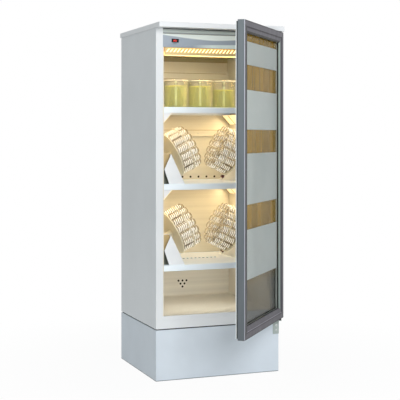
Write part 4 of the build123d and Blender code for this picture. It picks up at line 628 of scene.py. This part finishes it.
def piece(name, form, mat, body, smooth=True, instead=()):
    """A mesh piece that rides on a body, has one material and may stand for CAD nodes."""
    verts, faces = form
    mesh = bpy.data.meshes.new(name)
    mesh.from_pydata([tuple(v) for v in verts], [], faces)
    work = bmesh.new()
    work.from_mesh(mesh)
    bmesh.ops.remove_doubles(work, verts=work.verts, dist=0.000001)
    bmesh.ops.recalc_face_normals(work, faces=work.faces)
    work.to_mesh(mesh)
    work.free()
    mesh.materials.append(mat)
    if smooth:
        mesh.polygons.foreach_set("use_smooth", [True] * len(mesh.polygons))
        mesh.set_sharp_from_angle(angle=SHARP_ANGLE)
    obj = bpy.data.objects.new(name, mesh)
    scene.collection.objects.link(obj)
    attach(obj, body)
    if instead:
        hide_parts(*instead)


def circles(profile, steps):
    """The vertices of a turned form round Z; the profile is a list of (radius, height)."""
    turns = [2 * pi * k / steps for k in range(steps)]
    return [(radius * cos(a), radius * sin(a), height) for radius, height in profile for a in turns]


def band(first, second, steps):
    """The faces between two circles of a turned form."""
    low, high = first * steps, second * steps
    return [(low + k, low + (k + 1) % steps, high + (k + 1) % steps, high + k) for k in range(steps)]


def lathe(profile, steps):
    """A turned form, closed at an end that doesn't come to a point."""
    last = len(profile) - 1
    faces = [face for r in range(last) for face in band(r, r + 1, steps)]
    if profile[0][0] > 0.00001:
        faces.append(tuple(range(steps))[::-1])
    if profile[-1][0] > 0.00001:
        faces.append(tuple(last * steps + k for k in range(steps)))
    return circles(profile, steps), faces


def ring_form(profile, steps):
    """A turned form whose profile is closed on itself."""
    rings = len(profile)
    faces = [face for r in range(rings) for face in band(r, (r + 1) % rings, steps)]
    return circles(profile, steps), faces


def bar(low, high):
    """A block between two corners."""
    verts = [(x, y, z) for x in (low[0], high[0]) for y in (low[1], high[1]) for z in (low[2], high[2])]
    return verts, BOX_FACES


def drawn(outline, half):
    """An outline of (y, z) drawn out along X, as far to the left as to the right."""
    count = len(outline)
    verts = [(x, y, z) for x in (-half, half) for y, z in outline]
    faces = [(k, k + 1, k + 1 + count, k + count) for k in range(count - 1)]
    faces.append((count - 1, 0, count, 2 * count - 1))
    faces += [tuple(range(count))[::-1], tuple(range(count, 2 * count))]
    return verts, faces


def gather(forms):
    """One form from several of (vertices, faces, matrix)."""
    verts = []
    faces = []
    for form_verts, form_faces, place in forms:
        base = len(verts)
        verts.extend(place @ Vector(v) for v in form_verts)
        faces.extend(tuple(i + base for i in face) for face in form_faces)
    return verts, faces


def repeated(form, places):
    return gather([(*form, place) for place in places])


def at(x, y, z):
    return Matrix.Translation((x, y, z))


def turned(angle, axis, x, y, z):
    """A place that is turned round one axis."""
    place = Matrix.Rotation(angle, 4, axis)
    place.translation = Vector((x, y, z))
    return place


def facing_front(x, y, z):
    """A place for a turned form with its axis pointing to the front."""
    return turned(pi / 2, "X", x, y, z)


# Vials: closed tubes with medium inside, glowing white marks painted on as highlights, and a lip; tie rods
# run beside them

TUBE_R = 0.015
TUBE_FOOT = 0.005
TUBE_TOP = TUBE_FOOT + 0.098
MARK_FIRST = 0.010
MARK_PITCH = 0.0092
MARK_COUNT = 9
MARK_HALF = 0.0018
MARK_SLANT = 0.0030
MARK_STEPS = 8
LONG_MARK, SHORT_MARK = radians(66), radians(54)
VIAL_CIRCLES = ((16, 0.088), (8, 0.046))
ROD_CIRCLE = 0.0985
CAROUSEL_X, CAROUSEL_Y = 0.157, -0.065
AXLE_HEIGHTS = {"lower": 0.637, "upper": 1.000}

tube_profile = [
    (0.0, TUBE_FOOT),
    (0.0105, TUBE_FOOT),
    (0.0135, TUBE_FOOT + 0.0010),
    (TUBE_R, TUBE_FOOT + 0.0040),
    (TUBE_R, TUBE_TOP - 0.0250),
    (0.0146, TUBE_TOP - 0.0225),
    (0.0146, TUBE_TOP - 0.0205),
    (TUBE_R, TUBE_TOP - 0.0180),
    (TUBE_R, TUBE_TOP - 0.0060),
    (0.0138, TUBE_TOP - 0.0020),
    (0.0105, TUBE_TOP - 0.0003),
    (0.0, TUBE_TOP),
]
medium_profile = [
    (0.0, TUBE_FOOT + 0.0012),
    (0.0112, TUBE_FOOT + 0.0018),
    (0.0132, TUBE_FOOT + 0.0050),
    (0.0132, TUBE_FOOT + 0.0520),
    (0.0120, TUBE_FOOT + 0.0528),
    (0.0, TUBE_FOOT + 0.0520),
]
lip_profile = [
    (TUBE_R - 0.0002, TUBE_TOP - 0.0072),
    (TUBE_R + 0.0006, TUBE_TOP - 0.0066),
    (TUBE_R + 0.0006, TUBE_TOP - 0.0052),
    (TUBE_R - 0.0002, TUBE_TOP - 0.0048),
]
rod_profile = [
    (0.0, 0.0040),
    (0.0030, 0.0040),
    (0.0030, 0.0075),
    (0.0016, 0.0085),
    (0.0016, 0.0590),
    (0.0030, 0.0600),
    (0.0030, 0.0650),
    (0.0, 0.0658),
]


def highlight_marks(outward, slant):
    """Short glowing arcs up one tube, on the side that faces away from the carousel's axle: painted
    highlights, every third one longer.
    """
    inner, outer = TUBE_R - 0.0004, TUBE_R + 0.0001
    section = ((inner, -MARK_HALF), (outer, -MARK_HALF), (outer, MARK_HALF), (inner, MARK_HALF))
    corners = len(section)
    verts = []
    faces = []
    for step in range(MARK_COUNT):
        middle = TUBE_FOOT + MARK_FIRST + MARK_PITCH * step
        reach = SHORT_MARK if step % 3 else LONG_MARK
        base = len(verts)
        for k in range(MARK_STEPS + 1):
            share = 2 * k / MARK_STEPS - 1
            turn = outward + reach * share
            lift = middle + slant * share
            verts += [(radius * cos(turn), radius * sin(turn), lift + rise) for radius, rise in section]
        for k in range(MARK_STEPS):
            low, high = base + corners * k, base + corners * (k + 1)
            for side in range(corners):
                n = (side + 1) % corners
                faces.append((low + side, low + n, high + n, high + side))
        end = base + corners * MARK_STEPS
        faces.append((base + 3, base + 2, base + 1, base))
        faces.append((end, end + 1, end + 2, end + 3))
    return verts, faces


def vial_spots():
    spots = []
    for count, radius in VIAL_CIRCLES:
        for k in range(count):
            a = pi / count + 2 * pi * k / count
            spots.append((radius * cos(a), radius * sin(a)))
    return spots


def axle(side, z):
    """The matrix of a carousel's own frame, Z along its axle."""
    along = Vector((-side * cos(TILT), 0, sin(TILT)))
    first = Vector((0, 1, 0))
    second = along.cross(first)
    place = Matrix((first, second, along)).transposed().to_4x4()
    place.translation = Vector((side * CAROUSEL_X, CAROUSEL_Y, z))
    return place


def fill_carousel(place, side, key):
    """The vials of one carousel and the rods between its plates."""
    body = f"carousel_{key}"
    spots = [(atan2(y, x), place @ at(x, y, 0)) for x, y in vial_spots()]
    places = [spot for turn, spot in spots]
    marks = [(*highlight_marks(turn, side * MARK_SLANT), spot) for turn, spot in spots]
    tubes = repeated(lathe(tube_profile, 24), places)
    media = repeated(lathe(medium_profile, 16), places)
    lips = repeated(ring_form(lip_profile, 24), places)
    piece(f"vial_tubes_{key}", tubes, vial_glass, body, instead=[f"vials_{key}"])
    piece(f"vial_media_{key}", media, vial_fill, body)
    piece(f"vial_marks_{key}", gather(marks), painted_highlight_white, body, smooth=False)
    piece(f"vial_lips_{key}", lips, lip_brown, body)
    turns = [pi / 4 + quarter * pi / 2 for quarter in range(4)]
    rod_places = [place @ at(ROD_CIRCLE * cos(turn), ROD_CIRCLE * sin(turn), 0) for turn in turns]
    piece(f"tie_rods_{key}", repeated(lathe(rod_profile, 14), rod_places), rod_dark, body)


for level, height in AXLE_HEIGHTS.items():
    for word, side in (("left", -1), ("right", 1)):
        fill_carousel(axle(side, height), side, f"{level}_{word}")

# Jars with a rounded foot and a rolled rim, and their liquid with a raised edge

JAR_FOOT = SHELF_TOPS["upper"]
JAR_RIM = 1.350
JAR_R, JAR_BORE = 0.0575, 0.0545
JAR_PITCH, JAR_Y = 0.122, -0.030
JAR_STEPS = 64
CULTURE_DEPTHS = (0.103, 0.103, 0.087)

jar_profile = [
    (0.0, JAR_FOOT + 0.0010),
    (0.0500, JAR_FOOT + 0.0010),
    (0.0520, JAR_FOOT),
    (0.0545, JAR_FOOT + 0.0006),
    (0.0568, JAR_FOOT + 0.0026),
    (JAR_R, JAR_FOOT + 0.0055),
    (JAR_R, JAR_RIM - 0.0060),
    (0.0570, JAR_RIM - 0.0030),
    (JAR_R, JAR_RIM - 0.0008),
    (0.0566, JAR_RIM),
    (0.0552, JAR_RIM),
    (JAR_BORE, JAR_RIM - 0.0010),
    (JAR_BORE, JAR_FOOT + 0.0070),
    (0.0525, JAR_FOOT + 0.0045),
    (0.0490, JAR_FOOT + 0.0038),
    (0.0, JAR_FOOT + 0.0036),
]
rim_bead = [
    (0.0576, JAR_RIM - 0.0024),
    (0.0583, JAR_RIM - 0.0012),
    (0.0580, JAR_RIM + 0.0006),
    (0.0566, JAR_RIM + 0.0014),
    (0.0552, JAR_RIM + 0.0008),
    (0.0556, JAR_RIM - 0.0004),
]


def liquid_profile(level):
    return [
        (0.0, JAR_FOOT + 0.0044),
        (0.0480, JAR_FOOT + 0.0046),
        (0.0520, JAR_FOOT + 0.0056),
        (0.0540, JAR_FOOT + 0.0085),
        (0.0541, level + 0.0020),
        (0.0532, level + 0.0008),
        (0.0500, level + 0.0002),
        (0.0, level),
    ]


def edge_profile(level):
    return [
        (0.0543, level - 0.0012),
        (0.0543, level + 0.0026),
        (0.0530, level + 0.0010),
        (0.0520, level),
    ]


jar_places = [at(JAR_PITCH * k, JAR_Y, 0) for k in (-1, 0, 1)]
fluids = []
edges = []
for place, depth in zip(jar_places, CULTURE_DEPTHS):
    fluids.append((*lathe(liquid_profile(JAR_FOOT + depth), JAR_STEPS), place))
    edges.append((*ring_form(edge_profile(JAR_FOOT + depth), JAR_STEPS), place))
jars = repeated(lathe(jar_profile, JAR_STEPS), jar_places)
piece("jar_bodies", jars, jar_glass, "cabinet", instead=["jars"])
piece("jar_cultures", gather(fluids), culture, "cabinet", instead=["jar_liquid"])
# Painted light: a glowing ring at each culture's edge and a pale glowing bead on each rim, as painted
# highlights.
piece("culture_edges", gather(edges), meniscus_painted_glow, "cabinet")
piece("jar_rim_glints", repeated(ring_form(rim_bead, JAR_STEPS), jar_places), rim_painted_glint, "cabinet")

# Seals across the corner lamps' sloping covers, at their back ends and 65 mm before them

LAMP_WIDE, LAMP_HIGH = 0.040, 0.044
LAMP_GAP = 0.0015
SEAL_SPANS = ((0.1985, 0.2035), (0.1300, 0.1335))
SEAL_HEIGHTS = (0.0012, 0.0030)


def lamp_seal(top, side, span):
    """A strip that stands proud of a lamp's cover, from its upper to its lower edge."""
    verts = []
    for y in span:
        wall = half_width(y) - LAMP_GAP
        for proud in SEAL_HEIGHTS:
            verts.append((side * (wall - LAMP_WIDE - proud), y, top - 0.0006))
            verts.append((side * (wall - 0.0010), y, top - LAMP_HIGH - proud))
    return verts, BOX_FACES, STILL


seals = [lamp_seal(top, side, span) for top in LAMP_TOPS for side in (-1, 1) for span in SEAL_SPANS]
piece("lamp_seals", gather(seals), seal_brown, "cabinet", smooth=False)

# Dark sheets of painted shade behind the duct panel's holes, grommets at the holes, and dark discs in the
# lowest shelf's vents

SHADE_SHEET = 0.0002  # leaves 0.3 mm to the fan's rotor behind it
SHADE_SHEET_SPANS = ((-0.185, 0.185, 0.8800, 0.8940), (-0.030, 0.030, 0.3360, 0.3800))
HOLE_ROWS = ((0.0425, 0.887, range(-4, 5)), (0.021, 0.373, (-1, 0, 1)), (0.021, 0.358, (-0.5, 0.5)))
LOWEST_HOLE = 0.343
VENT_PITCH, VENT_Y = 0.020, -0.0215

# Painted shade: near-black sheets behind the holes, for the dark that shows through them.
shade_sheets = []
for x0, x1, z0, z1 in SHADE_SHEET_SPANS:
    shade_sheets.append((*bar((x0, PANEL_BACK, z0), (x1, PANEL_BACK + SHADE_SHEET, z1)), STILL))
piece("duct_shade_sheets", gather(shade_sheets), hole_dark, "cabinet", smooth=False)
grommet = [(0.0030, 0.0), (0.0052, 0.0), (0.0050, 0.0007), (0.0044, 0.0010), (0.0034, 0.0008)]
holes = [facing_front(pitch * k, PANEL_FACE, z) for pitch, z, row in HOLE_ROWS for k in row]
holes.append(facing_front(0, PANEL_FACE, LOWEST_HOLE))
piece("duct_grommets", repeated(ring_form(grommet, SMALL_STEPS), holes), hole_dark, "cabinet")
disc = [
    (0.0, -0.0012),
    (0.0030, -0.0012),
    (0.0036, 0.0004),
    (0.0048, 0.0009),
    (0.0056, 0.0005),
    (0.0058, 0.0),
]
vents = [at(VENT_PITCH * k, VENT_Y, SHELF_TOPS["lower"]) for k in range(-4, 5)]
piece("vent_rings", repeated(lathe(disc, SMALL_STEPS), vents), hole_dark, "cabinet")

# The cove at the foot of the duct panel

COVE_HALF, COVE_R, COVE_STEPS = 0.246, 0.0128, 6
COVE_Y, COVE_Z = 0.2010, 0.3090
COVE_BACK, COVE_FOOT = 0.2142, 0.2950

turns = [pi / 2 * k / COVE_STEPS for k in range(COVE_STEPS + 1)]
cove = [(COVE_Y + COVE_R * sin(turn), COVE_Z - COVE_R * cos(turn)) for turn in turns]
cove.append((COVE_BACK, COVE_FOOT))
piece("floor_cove", drawn(cove, COVE_HALF), inside_white, "cabinet")

# A dark plate on the ceiling with its turned-down back edge, painted shade under the canopy; beads across the
# duct panel in a dark colour as painted shade lines, and a painted shadow line above the back rail

PLATE_ENDS = (-0.185, 0.222)
PLATE_MARGIN = 0.006
PLATE_TOP, PLATE_UNDER = 0.0004, 0.0016
EDGE_HALF, EDGE_FOOT = 0.243, 1.4560
EDGE_FRONT, EDGE_BACK = 0.2155, 0.2170
BEAD_HEIGHTS = (1.4010, 1.3720, 1.3590)
BEAD_HALF = 0.235
SHADOW_LINE_HALF, SHADOW_LINE_FOOT, SHADOW_LINE_TOP = 0.236, 1.1172, 1.1194
SHADOW_LINE_FACE = PANEL_FACE - 0.0012

plate_verts = []
for y in PLATE_ENDS:
    for x in (-1, 1):
        for drop in (PLATE_TOP, PLATE_UNDER):
            plate_verts.append((x * (half_width(y) - PLATE_MARGIN), y, ceiling(y) - drop))
edge_top = ceiling(EDGE_BACK) - PLATE_UNDER
edge_block = bar((-EDGE_HALF, EDGE_FRONT, EDGE_FOOT), (EDGE_HALF, EDGE_BACK, edge_top))
plate_forms = [(plate_verts, BOX_FACES, STILL), (*edge_block, STILL)]
piece("ceiling_shade_plate", gather(plate_forms), painted_shade_plate, "cabinet", smooth=False)
bead_profile = [(0.0, 0.0012), (0.0006, 0.0008), (0.0009, 0.0), (0.0006, -0.0008), (0.0, -0.0012)]
beads = []
for z in BEAD_HEIGHTS:
    outline = [(PANEL_FACE - out, z + up) for out, up in bead_profile]
    beads.append((*drawn(outline, BEAD_HALF), STILL))
# Painted shadow line above the back rail.
shadow_line = bar((-SHADOW_LINE_HALF, SHADOW_LINE_FACE, SHADOW_LINE_FOOT), (SHADOW_LINE_HALF, PANEL_FACE, SHADOW_LINE_TOP))
beads.append((*shadow_line, STILL))
piece("panel_beads", gather(beads), bead_shade, "cabinet", smooth=False)

# Aerator tubes that hang in the jars, with a wider foot, glowing faintly as painted light

tube_form = [
    (0.0040, 1.3480),
    (0.0052, 1.3480),
    (0.0052, 1.2440),
    (0.0066, 1.2400),
    (0.0066, 1.2330),
    (0.0040, 1.2310),
]
aerators = repeated(ring_form(tube_form, SMALL_STEPS), jar_places)
piece("aerator_tubes", aerators, tube_painted_glow, "cabinet")

# Screws in the back rail, and a grommet in the right wall

RAIL_FACE, RAIL_SCREW_Z = 0.197, 1.1025
RAIL_SCREWS = (-0.170, -0.077, 0.077, 0.170)
WALL_HOLE_Y, WALL_HOLE_Z = -0.179, 0.392

screw_head = [(0.0, 0.0020), (0.0014, 0.0019), (0.0026, 0.0013), (0.0031, 0.0004), (0.0031, 0.0)]
rail_places = [facing_front(x, RAIL_FACE, RAIL_SCREW_Z) for x in RAIL_SCREWS]
screw = lathe(screw_head, SMALL_STEPS)
piece("rail_screws", repeated(screw, rail_places), spring_steel, "cabinet")
wall_hole = [(0.0, 0.0012), (0.0030, 0.0012), (0.0046, 0.0018), (0.0058, 0.0012), (0.0062, 0.0), (0.0, 0.0)]
wall_place = turned(-pi / 2, "Y", half_width(WALL_HOLE_Y) - 0.0001, WALL_HOLE_Y, WALL_HOLE_Z)
piece("wall_grommet", repeated(lathe(wall_hole, 24), [wall_place]), hole_dark, "cabinet")

# Screws round the rear cladding: two columns of five, and one above and one below between them

REAR_COLUMN = 0.288
REAR_HEIGHTS = (0.246, 0.570, 0.895, 1.220, 1.552)

ends = (REAR_HEIGHTS[0], REAR_HEIGHTS[-1])
rear_columns = ((-REAR_COLUMN, REAR_HEIGHTS), (0, ends), (REAR_COLUMN, REAR_HEIGHTS))
rear_places = [turned(-pi / 2, "X", x, REAR_FACE, z) for x, heights in rear_columns for z in heights]
piece("rear_screws", repeated(screw, rear_places), screw_steel, "cabinet")

# Screws and the boss's cap on the lower hinge bracket

BRACKET_SCREW_X = 0.287
BRACKET_SCREW_HEIGHTS = (0.191, 0.213)
BRACKET_FACE = -0.2680
SLOT_LONG, SLOT_THIN = 0.0022, 0.0005
SLOT_FRONT, SLOT_BACK = BRACKET_FACE - 0.0028, BRACKET_FACE - 0.0020

bracket_head = [(0.0, 0.0026), (0.0018, 0.0025), (0.0034, 0.0020), (0.0044, 0.0010), (0.0046, 0.0)]
head_places = [facing_front(BRACKET_SCREW_X, BRACKET_FACE, z) for z in BRACKET_SCREW_HEIGHTS]
slots = []
for z in BRACKET_SCREW_HEIGHTS:
    for across, high in ((SLOT_LONG, SLOT_THIN), (SLOT_THIN, SLOT_LONG)):
        low_corner = (BRACKET_SCREW_X - across, SLOT_FRONT, z - high)
        high_corner = (BRACKET_SCREW_X + across, SLOT_BACK, z + high)
        slots.append((*bar(low_corner, high_corner), STILL))
piece("bracket_screws", repeated(lathe(bracket_head, 28), head_places), screw_steel, "cabinet")
piece("bracket_screw_slots", gather(slots), hole_dark, "cabinet", smooth=False)
cap_ring = [
    (0.0070, 0.2412),
    (0.0092, 0.2412),
    (0.0098, 0.2425),
    (0.0098, 0.2480),
    (0.0088, 0.2496),
    (0.0070, 0.2496),
]
cap = repeated(ring_form(cap_ring, 32), [Matrix.Translation(HINGE)])
piece("boss_cap", cap, black_matt, "cabinet")

# Display with its bezel and figures

FASCIA_Y, FASCIA_Z = -0.2615, 1.5155
DISPLAY_X = -0.2075
DISPLAY_FIGURES = "250"
DIGIT_W, DIGIT_H, DIGIT_PITCH = 0.0031, 0.0056, 0.0052
STROKE = 0.0005
STROKE_GAP = STROKE * 0.6
BEZEL_HALF, BEZEL_RISE = (0.0160, 0.0168), (0.0076, 0.0084)
SEGMENTS = {
    "a": ((0, 1), (1, 1)),
    "b": ((1, 1), (1, 0.5)),
    "c": ((1, 0.5), (1, 0)),
    "d": ((0, 0), (1, 0)),
    "e": ((0, 0.5), (0, 0)),
    "f": ((0, 1), (0, 0.5)),
    "g": ((0, 0.5), (1, 0.5)),
}
FIGURES = {"2": "abged", "5": "afgcd", "0": "abcdef"}

fascia_normal = Vector((0, -cos(LEAN), -sin(LEAN)))
fascia_up = Vector((0, -sin(LEAN), cos(LEAN)))


def on_fascia(x, rise, proud):
    """A point on the leaning fascia; rise is measured along it from its middle."""
    return Vector((x, FASCIA_Y, FASCIA_Z)) + fascia_up * rise + fascia_normal * proud


def plate_on_fascia(outline, proud, thick):
    """A thin raised plate from an outline of (x, rise)."""
    count = len(outline)
    verts = [on_fascia(x, rise, level) for level in (proud, proud + thick) for x, rise in outline]
    faces = [tuple(range(count))[::-1], tuple(range(count, 2 * count))]
    faces += [(k, (k + 1) % count, (k + 1) % count + count, k + count) for k in range(count)]
    return verts, faces, STILL


def stroke(x0, r0, x1, r1):
    """A bar with pointed ends between two points of a figure."""
    dx, dr = x1 - x0, r1 - r0
    length = (dx * dx + dr * dr) ** 0.5
    ux, ur = dx / length, dr / length
    nx, nr = -ur * STROKE, ux * STROKE
    x0, r0, x1, r1 = x0 + ux * STROKE_GAP, r0 + ur * STROKE_GAP, x1 - ux * STROKE_GAP, r1 - ur * STROKE_GAP
    return [
        (x0, r0),
        (x0 + ux * STROKE + nx, r0 + ur * STROKE + nr),
        (x1 - ux * STROKE + nx, r1 - ur * STROKE + nr),
        (x1, r1),
        (x1 - ux * STROKE - nx, r1 - ur * STROKE - nr),
        (x0 + ux * STROKE - nx, r0 + ur * STROKE - nr),
    ]


strokes = []
foot = -DIGIT_H / 2
for index, figure in enumerate(DISPLAY_FIGURES):
    left = DISPLAY_X + (index - 1.5) * DIGIT_PITCH
    for key in FIGURES[figure]:
        (ax, ar), (bx, br) = SEGMENTS[key]
        outline = stroke(left + ax * DIGIT_W, foot + ar * DIGIT_H, left + bx * DIGIT_W, foot + br * DIGIT_H)
        strokes.append(plate_on_fascia(outline, 0.0001, 0.00035))
bezel = []
for x, rise in ((1, 1), (-1, 1), (-1, -1), (1, -1)):
    flat, upright = (BEZEL_HALF[0], BEZEL_RISE[1]), (BEZEL_HALF[1], BEZEL_RISE[0])
    corner = [flat, upright] if x * rise < 0 else [upright, flat]
    bezel += [(DISPLAY_X + x * a, rise * b) for a, b in corner]
bezel_form = gather([plate_on_fascia(bezel, -0.0003, 0.0005)])
piece("display_bezel", bezel_form, black_gloss, "cabinet", smooth=False)
piece("display_figures", gather(strokes), digits_red, "cabinet", smooth=False)

# Camera

camera = bpy.data.objects.new("camera", bpy.data.cameras.new("camera"))
camera.location = (-1.799, -4.7133, 1.0893)
camera.rotation_euler = (pi / 2, 0, -radians(21.01))
camera.data.lens = 95.2
camera.data.sensor_width = 36
camera.data.shift_y = -0.160
scene.collection.objects.link(camera)
scene.camera = camera

# Studio: a white background for the camera and for what shows through or in a gloss, dimmer as a light

FLOOR_SINK = 0.0005


def looked_at(tree):
    """One for rays that come from the camera, through glass or off a gloss."""
    rays = tree.nodes.new("ShaderNodeLightPath").outputs
    value = rays["Is Camera Ray"]
    for kind in ("Is Transmission Ray", "Is Glossy Ray"):
        either = tree.nodes.new("ShaderNodeMath")
        either.operation = "MAXIMUM"
        tree.links.new(value, either.inputs[0])
        tree.links.new(rays[kind], either.inputs[1])
        value = either.outputs[0]
    return value


world = bpy.data.worlds.new("studio")
scene.world = world
world.use_nodes = True
tree = world.node_tree
tint = tree.nodes.new("ShaderNodeMix")
tint.data_type = "RGBA"
tree.links.new(looked_at(tree), tint.inputs[0])
tint.inputs[6].default_value = (0.365, 0.40, 0.405, 1)
tint.inputs[7].default_value = (1, 1, 1, 1)
back = tree.nodes["Background"]
tree.links.new(tint.outputs[2], back.inputs["Color"])
back.inputs["Strength"].default_value = 1.0

floor_mesh = bpy.data.meshes.new("floor")
floor_mesh.from_pydata([(-30, -30, 0), (30, -30, 0), (30, 60, 0), (-30, 60, 0)], [], [(0, 1, 2, 3)])
floor = bpy.data.objects.new("floor", floor_mesh)
floor.location.z = -FLOOR_SINK
scene.collection.objects.link(floor)
floor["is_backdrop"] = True


def ground_finish():
    """A pale floor near the cabinet that fades into the white background."""
    s = Sheet("floor_pale")
    s.put((0.80, 0.80, 0.80, 1), "Base Color")
    s.put(0.8, "Roughness")
    reach = s.add("ShaderNodeVectorMath", {0: s.coord}, operation="LENGTH").outputs["Value"]
    white = s.add("ShaderNodeEmission", {"Color": (1, 1, 1, 1), "Strength": 1.0}).outputs[0]
    share = s.math("MULTIPLY", looked_at(s.tree), s.spread(reach, 0.95, 1.0, 0.5, 1.5))
    blend = s.add("ShaderNodeMixShader", {0: share, 1: s.bsdf.outputs[0], 2: white})
    s.feed(s.tree.nodes["Material Output"], "Surface", blend.outputs[0])
    return s.mat


floor_mesh.materials.append(ground_finish())


def lamp(name, place, target, along, size, power, color=(1, 1, 1), size_y=None):
    """An area lamp; along is the world direction of its first side."""
    light = bpy.data.lights.new(name, "AREA")
    light.energy = power
    light.color = color
    light.size = size
    if size_y:
        light.shape = "RECTANGLE"
        light.size_y = size_y
    obj = bpy.data.objects.new(name, light)
    away = (Vector(place) - Vector(target)).normalized()
    second = away.cross(Vector(along)).normalized()
    first = second.cross(away)
    turn = Matrix((first, second, away)).transposed().to_4x4()
    turn.translation = Vector(place)
    obj.matrix_world = turn
    obj.visible_camera = False
    scene.collection.objects.link(obj)


ALONG_X, ALONG_Y = (1, 0, 0), (0, 1, 0)
lamp("key", (-0.2, -4.4, 2.3), (0, 0, 0.9), ALONG_X, 2.4, 112)
lamp("fill", (-4.2, -1.2, 2.0), (0, 0, 0.8), ALONG_Y, 2.6, 4)

# Lamps in the cabinet: above, at the bottom, and under the two shelves with corner lamps

WARM = (1.0, 0.79, 0.46)
lamp("canopy_glow", (0, -0.223, 1.449), (0, -0.02, 1.22), ALONG_X, 0.46, 1.05, (1.0, 0.80, 0.48), 0.03)
lamp("canopy_inside", (0, -0.200, 1.470), (0, -0.250, 1.470), ALONG_X, 0.46, 0.25, (1.0, 0.78, 0.45), 0.015)
lamp("bottom_fill", (0, -0.20, 0.478), (0, 0.02, 0.29), ALONG_X, 0.40, 0.57, (0.97, 0.97, 0.90), 0.05)
for top, glow in zip(LAMP_TOPS, (0.47, 0.53)):
    place, target = (0, -0.03, top - 0.012), (0, -0.03, top - 0.3)
    lamp(f"under_shelf_{top}", place, target, ALONG_X, 0.42, glow, WARM, 0.36)
    for side, power in ((-1, 0.16), (1, 0.38)):
        place = (side * 0.222, -0.02, top - 0.034)
        target = (side * 0.02, -0.02, top - 0.26)
        lamp(f"corner_{side}_{top}", place, target, ALONG_Y, 0.42, power, WARM, 0.03)

low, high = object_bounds()
